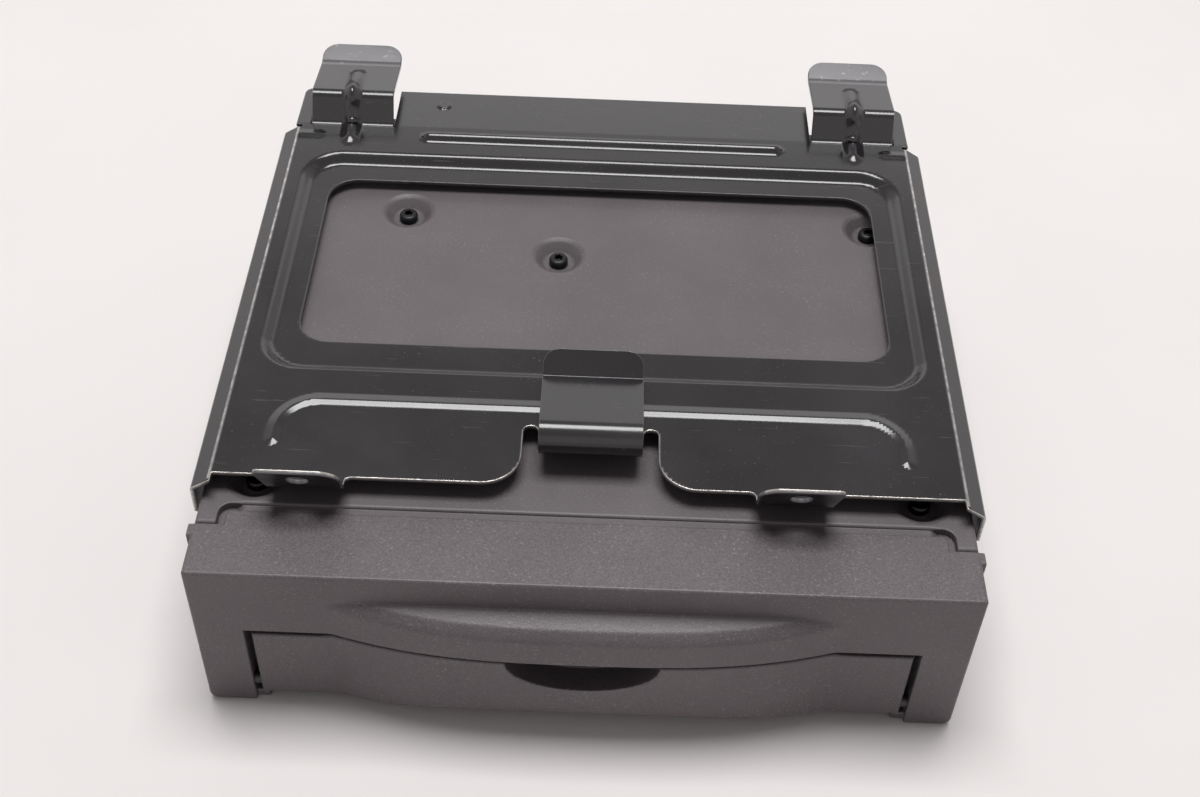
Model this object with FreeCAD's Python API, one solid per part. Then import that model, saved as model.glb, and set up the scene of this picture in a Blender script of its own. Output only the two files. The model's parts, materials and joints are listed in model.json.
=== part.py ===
import FreeCAD
import Part
import math
import os

Vector = FreeCAD.Vector

# Car navigation disc reader, millimetres, +X right, +Y to the rear, +Z up.
# Origin: centre of the bounding box on the surface that the reader stands on.
# Places along the reader are given as a depth behind the flat front face.

# Disc, and what lies at its height
discRadius = 60.0
discThick = 1.2
discZ = 21.0
clearance = 0.3
runningFit = 0.05
seatFit = 0.02

# Fascia, as wide as the disc slot, the button beside it and a leg on each side
slotRoom = 2.0
slotHalfWidth = discRadius + slotRoom
buttonRoom = 25.3
mouthHalfWidth = slotHalfWidth + buttonRoom
legWidth = 12.7
fasciaWidth = 2 * (mouthHalfWidth + legWidth)
fasciaHeight = 54.0
fasciaDepth = 16.3
fasciaWall = 2.4
fasciaCornerRadius = 2.5
mouthTopZ = 30.9
lipHalfWidth = 65.0
lipReach = 7.2
lipTopZ = 44.4
lipRimDrop = 2.4
lipRollRadius = 2.4
lipPower = 2.8
tongueInset = 8.2
tongueHalfWidth = fasciaWidth / 2 - tongueInset
tongueReach = 3.6
tongueThick = 1.8
tongueCorner = 4.0
grooveWidth = 2.0
grooveLength = 5.5
grooveDepth = 1.2
sideLugReach = 1.2
sideLugLength = 4.0
sideLugHeight = 5.0
sideLugDrop = 2.0

# Flap
flapSideGap = 1.9
flapHalfWidth = mouthHalfWidth - flapSideGap
flapBottomZ = 4.3
flapTopGap = 0.5
flapTopZ = mouthTopZ - flapTopGap
flapWall = 2.0
flapRollRadius = 8.0
hingeDepth = 2.2
hingeZ = 7.5
stubRadius = 1.6
hingeClearance = 0.08
hingeEarWidth = 3.0
recessHalfWidth = 19.8
recessDrop = 10.4
recessFloorDepth = -1.6
recessFloorSlope = 3.4
recessWall = 1.4

# Slot panel and eject button, behind the flap
slotHeight = 6.0
panelFront = 9.6
panelThick = 2.0
panelSideGap = 0.4
feltThick = 0.8
feltGap = 0.9
feltOverlap = 2.0
buttonX = slotHalfWidth + buttonRoom / 2
buttonZ = 14.0
buttonWidth = 11.0
buttonHeight = 6.0
buttonTravel = 1.2
buttonProud = 1.6
buttonEdge = 0.5
buttonClearance = 0.35
buttonFlange = 1.0
buttonFlangeReach = 1.2
switchPostOffset = 6.5
switchPostRise = 4.0
switchPostRadius = 2.0
switchKnobReach = 2.4
switchBoardThick = 1.2
switchBoardHalfWidth = 9.0
switchBoardDrop = 6.2
switchBoardEdge = 0.5

# Drive mechanism, from its front wall to the rear
mechSideRoom = 6.0
mechHalfWidth = discRadius + mechSideRoom
mechFrontRoom = 9.7
mechFront = fasciaDepth + mechFrontRoom
mechFloorZ = 8.0
mechSheet = 1.0
discFrontRoom = 4.0
spindleDepth = mechFront + discRadius + discFrontRoom
baseThick = 1.2
spindleMotorRadius = 12.0
spindleMotorHeight = 4.4
spindleMotorDrop = 3.4
spindleMotorTopZ = discZ - spindleMotorDrop
baseTopZ = spindleMotorTopZ - spindleMotorHeight
rodX = 27.0
rodRadius = 1.5
rodRise = 2.2
rodZ = baseTopZ + rodRise
rodStart = 10.0
rodFront = spindleDepth + rodStart
rodLength = 63.0
rodRear = rodFront + rodLength
rodHolder = 3.0
sledStart = 5.0
sledFront = rodFront + sledStart
sledLength = 18.0
sledHalfWidth = 20.0
sledDrop = 3.4
sledTopZ = discZ - sledDrop
deckHalfWidth = 14.0
deckThick = 2.0
lensRadius = 2.3
lensSeatRadius = 3.1
lensDome = 4.0
screwOffset = 10.0
screwX = rodX + screwOffset
screwStart = 3.4
screwEnd = 1.0
sledMotorRadius = 4.6
sledMotorLength = 11.0
baseSide = 3.8
baseRight = screwX + baseSide
baseLeft = -34.0
baseStart = 14.0
baseFront = spindleDepth - baseStart
baseEnd = 1.0
baseRear = rodRear + baseEnd
baseCorner = 4.0
studRadius = 2.5
studInset = 6.0
mechRearRoom = 2.0
mechRear = baseRear + mechRearRoom
mechCornerRoom = 1.2
mechCornerX = baseRight + mechCornerRoom
mechNeck = 10.0
mechCornerEnd = mechRear - mechNeck
mechCornerRun = 34.0
mechCornerStart = mechCornerEnd - mechCornerRun
damperReach = 14.0
damperX = mechHalfWidth + damperReach
damperDepths = (46.0, 112.0)
damperRadius = 5.0
damperGroove = 1.5
damperPostRadius = 2.4
damperSeatZ = 25.0
damperHeight = 6.0
damperScrewRadius = 0.95
damperScrewLength = 6.0
damperWasherRadius = 4.0
damperWasherThick = 1.6
damperEarHalfWidth = 6.0
rollerSetback = 8.0
rollerDepth = mechFront + rollerSetback
rollerRadius = 3.5
rollerEndRadius = 4.7
rollerTouch = 0.1
rollerZ = discZ - discThick / 2 - rollerEndRadius - rollerTouch
rollerShaftRadius = 1.5
rollerShaftEnd = 1.5
sleeveGap = 3.0
sleeveInset = 8.0
sleeveEnd = mechHalfWidth - sleeveInset
gearModule = 0.6
rollerTeeth = 20
idlerTeeth = 30
pinionTeeth = 10
gearThick = 3.0
gearStandoff = 3.0
gearX = mechHalfWidth + gearStandoff
gearEnd = 0.5
meshSlack = 0.12
bushRadius = 3.0
bushCollar = 1.0
bushReach = 1.2
idlerPinRadius = 1.2
idlerPinHead = 0.6
idlerPinRim = 0.9
loadMotorRadius = 4.7
loadMotorLength = 13.0
motorNoseRadius = 1.5
motorNoseLength = 0.8
motorShaftRadius = 0.75
turntableRadius = 13.0
hubRadius = 7.3
hubRise = 1.5
hubTopZ = discZ + hubRise
spindleRadius = 1.0
spindleRise = 1.5
puckLift = 3.6
puckBottomZ = discZ + puckLift
clampRise = 3.4
clampZ = puckBottomZ + clampRise
clampRoom = 3.5
clampDepth = spindleDepth + discRadius + clampRoom
clampPinRadius = 1.0
clampArmHalfWidth = 12.0
clampArmThick = 1.0
clampEyeRadius = 2.4
clampEyeWidth = 1.0
clampLugX = 15.0
clampLugThick = 1.2
clampLugRadius = 3.0
puckRadius = 13.0
puckPinRadius = 3.0
coverRoom = 4.0
mechTopZ = clampZ + coverRoom
coverDomeRadius = 24.0
coverDomeRise = 2.0
coverRibInner = 30.0
coverRibOuter = 44.0
coverRibInset = 6.0
coverRibFront = mechFront + coverRibInset
coverRibRear = mechCornerStart - coverRibInset
guideDepth = 16.0
guideRise = 2.6
guideThick = 1.2
guideRibCount = 4
guideRibPitch = 4.0

# Housing, wide as the fascia and deep as the mechanism and the sockets behind it
housingReveal = 0.2
housingWidth = fasciaWidth - 2 * housingReveal
rearRoom = 26.0
housingDepth = mechRear + rearRoom
housingWall = 2.2
housingCornerRadius = 3.0
housingInnerCorner = 1.0
housingTopZ = fasciaHeight
splitZ = 24.0
splitGap = 0.3
frontGap = 0.3
mouthSill = 1.5
mouthHead = 6.0
dimpleRadius = 7.6
dimpleFloorRadius = 5.0
dimpleDepth = 3.4
postRadius = 5.0
screwRadius = 1.5
screwCore = 1.3
screwHeadRadius = 2.8
screwHeadHeight = 2.5
screwHeadChamfer = 0.8
screwLength = 9.0
screwGrip = 8.0
leftPostOffset = 17.0
leftPostSetback = 12.0
leftRearPost = (-mechCornerX - leftPostOffset, mechCornerEnd - leftPostSetback)
rightPostInset = 16.6
rightPostSetback = 12.8
rightRearPost = (housingWidth / 2 - rightPostInset, mechCornerEnd - rightPostSetback)
frontPostInset = 13.0
frontPostX = housingWidth / 2 - frontPostInset
frontPostDepth = 33.1
housingPosts = [leftRearPost, rightRearPost, (frontPostX, frontPostDepth), (-frontPostX, frontPostDepth)]
shieldScrew = (-11.8, 125.7)
ventCount = 5
ventPitch = 4.0
ventWidth = 2.0
ventHeight = 12.0
ventInset = 29.8
ventX = housingWidth / 2 - ventInset
ventRise = 6.0
ventZ = splitZ + ventRise
floorSlotCount = 6
floorSlotPitch = 20.0
floorSlotLength = 12.0
floorSlotWidth = 3.0
floorSlotDepth = 150.0

# Bracket, pressed from one sheet
sheet = 1.2
plateRise = 6.0
plateTopZ = housingTopZ + plateRise
plateBottomZ = plateTopZ - sheet
flangeGap = 1.3
flangeHalfWidth = housingWidth / 2 + flangeGap + sheet
shoulder = 4.8
plateHalfWidth = flangeHalfWidth - shoulder
slopeDrop = 3.0
shoulderCorner = 0.7
flangeHeight = 12.4
flangeBottomZ = plateTopZ - flangeHeight
flangeScrewRise = 3.2
flangeScrewDepths = (55.0, 150.0)
flangeBossRadius = 3.0
flatHeadRadius = 2.6
flatHeadFit = 0.05
flangeFront = 25.3
plateFront = 28.3
plateOverhang = 8.0
plateRear = housingDepth + plateOverhang
flangeEnd = 22.4
flangeRear = plateRear - flangeEnd
tailInset = 3.9
tailHalfWidth = flangeHalfWidth - tailInset
tailDrop = 1.0
tailLength = 20.6
tailBend = plateRear - tailLength
tailCorner = 3.0
rimInset = 4.2
rimHalfWidth = plateHalfWidth - rimInset
rimFront = 66.9
rimEnd = 12.4
rimRear = flangeRear - rimEnd
rimCorner = 13.0
rimDrop = 2.6
rimWidth = 9.6
windowHalfWidth = rimHalfWidth - rimWidth
windowFront = 80.9
windowEnd = 11.0
windowRear = rimRear - windowEnd
windowCorner = 9.0
beadHalfWidth = 3.0
beadHeight = 1.0
beadSlope = 1.2
beadInset = 15.1
beadHalfSpan = plateHalfWidth - beadInset
beadFootDepth = 38.1
beadDepth = 55.6
beadCorner = 11.0
tailRibHalfSpan = 56.0
tailRibInset = 3.6
tailRibDepth = flangeRear - tailRibInset
tailRibHalfWidth = 2.4
cornerRibLength = 6.4
cornerRibInset = 4.2
cornerRibDepth = flangeRear - cornerRibInset
recessEdgeHalfWidth = 28.2
recessEdgeRadius = 10.3
notchOuter = 17.9
notchRear = 48.9
dotX = -52.1
dotInset = 9.0
dotDepth = plateRear - dotInset
dotRadius = 2.2
dotTopRadius = 1.6
dotHeight = 0.6

# Centre clip of the bracket
clipHalfWidth = 13.6
clipFront = 37.3
clipBendRadius = 5.0
clipArmDrop = 2.9
clipArmEnd = 61.8
clipTipLength = 8.0
clipTipAngle = 45.0
clipTipCorner = 4.5

# Rear hooks of the bracket
hookInset = 5.0
hookWidth = 26.1
hookOuter = tailHalfWidth - hookInset
hookInner = hookOuter - hookWidth
hookFootRun = 20.3
hookFoot = plateRear - hookFootRun
hookRun = 4.2
hookRise = 9.1
hookTop = hookFoot + hookRun
hookTopZ = plateTopZ + hookRise
hookArmLength = 21.1
hookArmDrop = 3.1
hookBend = hookTop + hookArmLength
hookBendZ = hookTopZ - hookArmDrop
hookTipLength = 7.5
hookTipAngle = 20.0
hookTipCorner = 5.5
hookSideGap = 0.6
gussetRadius = 2.9
gussetRise = 0.9
gussetStart = 8.7
gussetFront = hookFoot - gussetStart
gussetEnd = 13.3
gussetRear = hookFoot + gussetEnd

# Front ears of the bracket
leftEarInner = 62.6
rightEarInner = 42.8
earInners = {-1: leftEarInner, 1: rightEarInner}
earRootWidth = 19.4
earTipWidth = 21.6
earFront = 24.8
earLength = 12.4
earLean = 25.0
earHoleRadius = 2.9
earHoleFromTip = 5.3
earCorner = 6.5
earOuterCorner = 1.6

# Boards
shieldSheet = 1.2
shieldDrop = 7.4
shieldBottomZ = housingTopZ - shieldDrop
shieldSideGap = 1.0
shieldFrontGap = 8.0
shieldSkirtFront = 70.0
shieldSkirtRear = 130.0
shieldSkirtDrop = 9.0
shieldSlotCount = 7
shieldSlotPitch = 16.0
shieldSlotWidth = 10.0
shieldSlotFront = 60.0
shieldSlotRear = 96.0
shieldNutHeight = 3.0
standoffHeight = 6.0
boardTopZ = shieldBottomZ - standoffHeight
boardThick = 1.6
boardBottomZ = boardTopZ - boardThick
boardInset = 15.8
boardHalfWidth = housingWidth / 2 - boardInset
boardFront = 30.0
boardEnd = 8.0
boardRear = housingDepth - boardEnd
standoffInset = 14.0
standoffX = boardHalfWidth - standoffInset
standoffRadius = 2.6
standoffDepths = (50.0, 170.0)
connectorX = -24.0
connectorWidth = 46.0
connectorHeight = 15.0
connectorLength = 16.0
connectorProud = 1.5
connectorWall = 1.5
connectorFloor = 3.0
windowClearance = 0.4
pinPitch = 4.2
pinColumns = 8
pinSize = 1.0
pinLength = 8.0
pinRowOffset = 2.4
socketX = 46.0
socketRadius = 5.0
socketWall = 1.0
socketFloor = 2.0
socketLength = 10.0
socketInset = 6.0
socketDrop = 1.0
socketCore = 0.6
canCount = 3
canRadius = 3.2
canHeight = 5.0
canX = 40.0
canPitch = 9.0
canDepth = 150.0
# place across, depth, width, length and height of each chip on the board
chips = [(-40.0, 60.0, 28.0, 28.0, 2.4), (8.0, 66.0, 22.0, 22.0, 2.0), (8.0, 98.0, 12.0, 20.0, 1.4),
         (30.0, 98.0, 12.0, 20.0, 1.4), (-48.0, 106.0, 20.0, 14.0, 1.8), (56.0, 60.0, 18.0, 18.0, 2.2)]
cableLeft = 10.0
cableWidth = 16.0
cableThick = 0.3
cableRun = 6.0
cableFootRise = 3.0
cablePlugHeight = 4.0
cablePlugThick = 2.0

# Worked out from the values above
hookTipReach = hookBend + hookTipLength * math.cos(math.radians(hookTipAngle))
frontY = (lipReach - hookTipReach) / 2
idlerDepth = rollerDepth + gearModule * (rollerTeeth + idlerTeeth) / 2 + meshSlack
pinionDepth = idlerDepth + gearModule * (idlerTeeth + pinionTeeth) / 2 + meshSlack


def at(x, depth, z):
    return Vector(x, frontY + depth, z)


def block(x0, x1, d0, d1, z0, z1):
    return Part.makeBox(x1 - x0, d1 - d0, z1 - z0, at(x0, d0, z0))


def sideBlock(s, inner, outer, d0, d1, z0, z1):
    # block at the left (s = -1) or the right (s = 1), between two distances from the middle
    x0, x1 = sorted((s * inner, s * outer))
    return block(x0, x1, d0, d1, z0, z1)


def cylinder(radius, height, x, depth, z, axis=Vector(0, 0, 1)):
    return Part.makeCylinder(radius, height, at(x, depth, z), axis)


def prism(points, direction):
    # closed outline of straight runs, pushed along a direction
    wire = Part.makePolygon(list(points) + [points[0]])
    return Part.Face(wire).extrude(direction)


def sideProfile(points, x0, x1):
    # outline in depth and height, pushed along X
    return prism([at(x0, d, z) for d, z in points], Vector(x1 - x0, 0, 0))


def arcThrough(a, b, c):
    return Part.Arc(a, b, c).toShape()


def line(a, b):
    return Part.LineSegment(a, b).toShape()


def roundedOutline(x0, x1, d0, d1, radius, z):
    # rectangle with four quarter arcs
    k = radius * (1 - math.sqrt(0.5))
    corners = [(x0, d0, 1, 1), (x1, d0, -1, 1), (x1, d1, -1, -1), (x0, d1, 1, -1)]
    arcs = []
    for i, (x, d, sx, sd) in enumerate(corners):
        alongX = at(x + sx * radius, d, z)
        alongD = at(x, d + sd * radius, z)
        middle = at(x + sx * k, d + sd * k, z)
        ends = (alongD, alongX) if i % 2 == 0 else (alongX, alongD)
        arcs.append((ends[0], middle, ends[1]))
    edges = []
    for i, (start, middle, end) in enumerate(arcs):
        edges.append(arcThrough(start, middle, end))
        edges.append(line(end, arcs[(i + 1) % 4][0]))
    return Part.Wire(edges)


def roundedBlock(x0, x1, d0, d1, z0, z1, radius):
    return Part.Face(roundedOutline(x0, x1, d0, d1, radius, z0)).extrude(Vector(0, 0, z1 - z0))


def sheetStrip(points, bends, thick, x0, x1):
    # strip of sheet bent along X: points run along its upper face, bends are the radii there
    def offsetLine(a, b, side):
        dx, dz = b[0] - a[0], b[1] - a[1]
        length = math.hypot(dx, dz)
        nx, nz = dz / length * side, -dx / length * side
        return (a[0] + nx, a[1] + nz), (b[0] + nx, b[1] + nz)

    def meet(p, q, r, s):
        dx1, dz1 = q[0] - p[0], q[1] - p[1]
        dx2, dz2 = s[0] - r[0], s[1] - r[1]
        t = ((r[0] - p[0]) * dz2 - (r[1] - p[1]) * dx2) / (dx1 * dz2 - dz1 * dx2)
        return p[0] + t * dx1, p[1] + t * dz1

    lower = []
    runs = [offsetLine(points[i], points[i + 1], thick) for i in range(len(points) - 1)]
    lower.append(runs[0][0])
    for i in range(len(runs) - 1):
        lower.append(meet(*runs[i], *runs[i + 1]))
    lower.append(runs[-1][1])
    solid = sideProfile(points + lower[::-1], x0, x1)
    for i, radius in enumerate(bends):
        for corner, r in ((points[i + 1], radius[0]), (lower[i + 1], radius[1])):
            for edge in solid.Edges:
                a, b = edge.Vertexes[0].Point, edge.Vertexes[-1].Point
                onCorner = abs(a.y - frontY - corner[0]) < 1e-4 and abs(a.z - corner[1]) < 1e-4
                if onCorner and abs(a.x - b.x) > 1 and abs(a.y - b.y) < 1e-6:
                    solid = solid.makeFillet(r, [edge])
                    break
    return solid


def lipCurve(offset):
    # plan curve of the bulge: reach times one less a power of the distance from the middle
    points = []
    steps = 10
    for i in range(-steps, steps + 1):
        x = lipHalfWidth * i / steps
        bulge = lipReach * (1 - abs(x / lipHalfWidth) ** lipPower)
        points.append((x, -bulge + offset))
    return points


def bulgeBody(z0, z1, offset, backDepth):
    # body between the bulge curve and a plane behind it
    curve = Part.BSplineCurve()
    curve.interpolate([at(x, d, z0) for x, d in lipCurve(offset)])
    edge = curve.toShape()
    left = at(-lipHalfWidth, offset, z0)
    right = at(lipHalfWidth, offset, z0)
    backLeft = at(-lipHalfWidth, backDepth, z0)
    backRight = at(lipHalfWidth, backDepth, z0)
    wire = Part.Wire([edge, line(right, backRight), line(backRight, backLeft), line(backLeft, left)])
    return Part.Face(wire).extrude(Vector(0, 0, z1 - z0))


def bottomSideEdges(body, half):
    # the two long edges under the fascia's sides
    found = []
    for edge in body.Edges:
        points = [v.Point for v in edge.Vertexes]
        if all(abs(abs(p.x) - half) < 1e-6 and abs(p.z) < 1e-6 for p in points) and points[0].x == points[-1].x:
            found.append(edge)
    return found


def makeFascia():
    half = fasciaWidth / 2
    body = block(-half, half, 0, fasciaDepth, 0, fasciaHeight)
    body = body.makeFillet(fasciaCornerRadius, bottomSideEdges(body, half))
    inner = block(-half + fasciaWall, half - fasciaWall, fasciaWall, fasciaDepth + 1,
                  fasciaWall, fasciaHeight - fasciaWall)
    mouth = block(-mouthHalfWidth, mouthHalfWidth, -1, fasciaWall + 1, -1, mouthTopZ)
    floorCut = block(-mouthHalfWidth, mouthHalfWidth, -1, fasciaDepth + 1, -1, fasciaWall + 1)
    cheeks = [sideBlock(s, mouthHalfWidth, mouthHalfWidth + fasciaWall, 0, panelFront - clearance,
                        0, mouthTopZ + fasciaWall) for s in (-1, 1)]
    body = body.cut(inner).fuse(cheeks).cut(mouth).cut(floorCut)
    lip = lipSolid(0, 0.5).fuse(block(-lipHalfWidth, lipHalfWidth, 0, fasciaWall, mouthTopZ, lipTopZ))
    body = body.fuse(lip)
    body = body.cut(lipHollow())
    tongue = roundedBlock(-tongueHalfWidth, tongueHalfWidth, fasciaDepth - 2 * tongueCorner,
                          fasciaDepth + tongueReach, housingTopZ - tongueThick, housingTopZ, tongueCorner)
    body = body.fuse(tongue)
    for s in (-1, 1):
        groove = sideBlock(s, tongueHalfWidth, tongueHalfWidth + grooveWidth, fasciaDepth - grooveLength,
                           fasciaDepth + 1, housingTopZ - grooveDepth, housingTopZ + 1)
        lug = sideBlock(s, half, half + sideLugReach, fasciaDepth - sideLugLength, fasciaDepth,
                        housingTopZ - sideLugDrop - sideLugHeight, housingTopZ - sideLugDrop)
        bore = cylinder(stubRadius + hingeClearance, 3.0 * fasciaWall,
                        s * (mouthHalfWidth - 1), hingeDepth, hingeZ, Vector(s, 0, 0))
        body = body.cut(groove).fuse(lug).cut(bore)
    return body.removeSplitter()


def lipSolid(offset, backDepth):
    # the bulged lip, its top sloping down to a rolled rim
    body = bulgeBody(mouthTopZ, lipTopZ, offset, backDepth)
    x = -lipHalfWidth - 1
    r = lipRollRadius
    slope = math.atan2(lipRimDrop, lipReach)
    centreD = r - lipReach
    centreZ = lipTopZ + centreD * math.tan(slope) - r / math.cos(slope)

    def onRoll(angle):
        return at(x, centreD - r * math.sin(angle), centreZ + r * math.cos(angle))

    front = at(x, -lipReach - 1, centreZ)
    top = at(x, -lipReach - 1, lipTopZ + 1)
    edges = [line(at(x, 0, lipTopZ), onRoll(slope)),
             arcThrough(onRoll(slope), onRoll((slope + math.pi / 2) / 2), onRoll(math.pi / 2)),
             line(onRoll(math.pi / 2), front), line(front, top),
             line(top, at(x, 0, lipTopZ + 1)), line(at(x, 0, lipTopZ + 1), at(x, 0, lipTopZ))]
    above = Part.Face(Part.Wire(edges)).extrude(Vector(-2 * x, 0, 0))
    return body.cut(above)


def lipHollow():
    # room behind the lip, open to the rear
    body = bulgeBody(mouthTopZ + fasciaWall, lipTopZ - 2 * fasciaWall, fasciaWall, 2 * fasciaWall)
    return body


def makeFlap():
    plate = block(-flapHalfWidth, flapHalfWidth, 0, flapWall, flapBottomZ, flapTopZ)
    outer = bulgeBody(flapBottomZ, flapTopZ, 0, flapWall)
    inner = bulgeBody(flapBottomZ - 1, flapTopZ - flapWall, flapWall, 2 * flapWall)
    outer = outer.common(rolledProfile(0))
    inner = inner.common(rolledProfile(flapWall))
    body = plate.fuse(outer).cut(inner)
    recess = recessScoop(0)
    jacket = recessScoop(recessWall).common(block(-flapHalfWidth, flapHalfWidth, -lipReach + recessWall / 2,
                                                  flapWall, flapBottomZ, flapTopZ))
    body = body.fuse(jacket).cut(recess)
    for s in (-1, 1):
        ear = sideBlock(s, flapHalfWidth - hingeEarWidth, flapHalfWidth, 0, hingeDepth + stubRadius + 1,
                        flapBottomZ, hingeZ + stubRadius + 2)
        stub = cylinder(stubRadius, flapSideGap + fasciaWall - 0.2 + 2,
                        s * (flapHalfWidth - 2), hingeDepth, hingeZ, Vector(s, 0, 0))
        body = body.fuse([ear, stub])
    return body.removeSplitter()


def rolledProfile(offset):
    # side outline of the bulge with its rolled bottom
    reach = lipReach - offset
    radius = flapRollRadius - offset
    z0 = flapBottomZ
    centre = (-reach + radius, z0 + offset + radius)
    k = radius * math.sqrt(0.5)
    edges = [
        line(at(-flapHalfWidth, -reach, flapTopZ), at(-flapHalfWidth, -reach, centre[1])),
        arcThrough(at(-flapHalfWidth, -reach, centre[1]),
                   at(-flapHalfWidth, centre[0] - k, centre[1] - k),
                   at(-flapHalfWidth, centre[0], z0 + offset)),
        line(at(-flapHalfWidth, centre[0], z0 + offset), at(-flapHalfWidth, 3 * flapWall, z0 + offset)),
        line(at(-flapHalfWidth, 3 * flapWall, z0 + offset), at(-flapHalfWidth, 3 * flapWall, flapTopZ)),
        line(at(-flapHalfWidth, 3 * flapWall, flapTopZ), at(-flapHalfWidth, -reach, flapTopZ)),
    ]
    return Part.Face(Part.Wire(edges)).extrude(Vector(2 * flapHalfWidth, 0, 0))


def recessScoop(grow):
    # half oval pocket for a fingertip, open to the front and the top, its floor sloping forward
    room = 20.0
    half = recessHalfWidth + room
    oval = Part.Ellipse(at(0, -lipReach - 2, flapTopZ), recessHalfWidth + grow, recessDrop + grow)
    oval.Axis = Vector(0, 1, 0)
    face = Part.Face(Part.Wire([oval.toShape()]))
    floorDepth = recessFloorDepth + grow
    pocket = face.extrude(Vector(0, floorDepth + lipReach + 2, 0))
    slope = sideProfile([(floorDepth, flapTopZ + 1), (floorDepth + 1, flapTopZ + 1),
                         (floorDepth + 1, flapTopZ - room), (floorDepth - recessFloorSlope, flapTopZ - room)],
                        -half, half)
    return pocket.cut(slope).common(block(-half, half, -lipReach - 2, hingeDepth + room,
                                          flapTopZ - room, flapTopZ + 1))


def housingOuter(z0, z1):
    half = housingWidth / 2
    return roundedBlock(-half, half, fasciaDepth + frontGap, housingDepth, z0, z1, housingCornerRadius)


def housingInner(z0, z1):
    half = housingWidth / 2 - housingWall
    return roundedBlock(-half, half, fasciaDepth + frontGap + housingWall, housingDepth - housingWall,
                        z0, z1, housingInnerCorner)


def mouthCut():
    # the housing's front is open behind the fascia
    return block(-mouthHalfWidth, mouthHalfWidth, fasciaDepth - 1, fasciaDepth + frontGap + 2 * housingWall,
                 fasciaWall + mouthSill, housingTopZ - mouthHead)


def makeUpperHousing():
    body = housingOuter(splitZ + splitGap, housingTopZ)
    body = body.cut(housingInner(splitZ - 1, housingTopZ - housingWall))
    body = body.cut(mouthCut())
    ledge = roundedBlock(-tongueHalfWidth - grooveWidth, tongueHalfWidth + grooveWidth,
                         fasciaDepth - 2 * tongueCorner, fasciaDepth + tongueReach + grooveWidth,
                         housingTopZ - housingWall, housingTopZ + 1, tongueCorner + grooveWidth)
    ledgeFloor = block(-tongueHalfWidth - 2 * grooveWidth, tongueHalfWidth + 2 * grooveWidth,
                       fasciaDepth + frontGap, fasciaDepth + tongueReach + 2 * grooveWidth,
                       housingTopZ - 2 * housingWall, housingTopZ - housingWall - 0.2)
    body = body.cut(ledge).fuse(ledgeFloor)
    seatTop = shieldBottomZ + shieldSheet
    for x, depth in housingPosts:
        post = cylinder(postRadius, housingTopZ - splitZ - splitGap, x, depth, splitZ + splitGap)
        flare = cylinder(dimpleRadius + housingWall, dimpleDepth + housingWall, x, depth,
                         housingTopZ - dimpleDepth - housingWall)
        body = body.fuse([post.common(housingOuter(splitZ + splitGap, housingTopZ)),
                          flare.common(housingOuter(splitZ, housingTopZ))])
    x, depth = shieldScrew
    body = body.fuse(cylinder(dimpleRadius + housingWall, housingTopZ - seatTop, x, depth, seatTop))
    for x, depth in housingPosts + [shieldScrew]:
        body = body.cut(dimple(x, depth))
        body = body.cut(cylinder(screwRadius + 0.1, housingTopZ, x, depth, splitZ))
    for s in (-1, 1):
        for depth in flangeScrewDepths:
            start = flangeHalfWidth - sheet
            z = flangeBottomZ + flangeScrewRise
            boss = cylinder(flangeBossRadius, screwLength, s * start, depth, z, Vector(-s, 0, 0))
            hole = cylinder(screwRadius, screwLength, s * (start + sheet), depth, z, Vector(-s, 0, 0))
            body = body.fuse(boss).cut(hole)
    body = body.cut(rearWindows())
    return body.removeSplitter()


def dimple(x, depth):
    # dished hollow round each screw
    return Part.makeCone(dimpleFloorRadius, dimpleRadius, dimpleDepth,
                         at(x, depth, housingTopZ - dimpleDepth), Vector(0, 0, 1))


def rearWindows():
    wallFront = housingDepth - housingWall - 1
    half = connectorWidth / 2 + windowClearance
    connector = block(connectorX - half, connectorX + half, wallFront, housingDepth + 1,
                      boardBottomZ - connectorHeight - windowClearance, boardBottomZ + windowClearance)
    socket = cylinder(socketRadius + windowClearance, 2 * housingWall + 2, socketX, wallFront, socketZ(),
                      Vector(0, 1, 0))
    vents = []
    for i in range(ventCount):
        x = ventX + i * ventPitch
        vents.append(block(x, x + ventWidth, wallFront, housingDepth + 1, ventZ, ventZ + ventHeight))
    return connector.fuse([socket] + vents)


def socketZ():
    return boardBottomZ - socketRadius - socketDrop


def makeLowerHousing():
    body = housingOuter(0, splitZ)
    body = body.cut(housingInner(housingWall, splitZ + 1))
    body = body.cut(mouthCut())
    for x, depth in housingPosts:
        post = cylinder(postRadius, splitZ, x, depth, 0).common(housingOuter(0, splitZ))
        body = body.fuse(post).cut(cylinder(screwCore, 12, x, depth, splitZ - 12))
    for x, depth in damperPlaces():
        seat = cylinder(damperRadius, damperSeatZ, x, depth, 0)
        pin = cylinder(damperPostRadius, damperSeatZ + damperHeight, x, depth, 0)
        holeLength = damperScrewLength + 2
        hole = cylinder(damperScrewRadius + runningFit, holeLength, x, depth,
                        damperSeatZ + damperHeight - holeLength)
        body = body.fuse([seat, pin]).cut(hole)
    for i in range(floorSlotCount):
        x = (i - (floorSlotCount - 1) / 2) * floorSlotPitch
        slot = block(x - floorSlotLength / 2, x + floorSlotLength / 2,
                     floorSlotDepth, floorSlotDepth + floorSlotWidth, -1, housingWall + 1)
        body = body.cut(slot)
    return body.removeSplitter()


def damperPlaces():
    return [(s * damperX, depth) for s in (-1, 1) for depth in damperDepths]


def revolved(outline, x, depth, z):
    # outline of (radius, height) turned round an upright axis
    points = [at(x + r, depth, z + h) for r, h in outline]
    face = Part.Face(Part.makePolygon(points + [points[0]]))
    return face.revolve(at(x, depth, z), Vector(0, 0, 1), 360)


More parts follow.
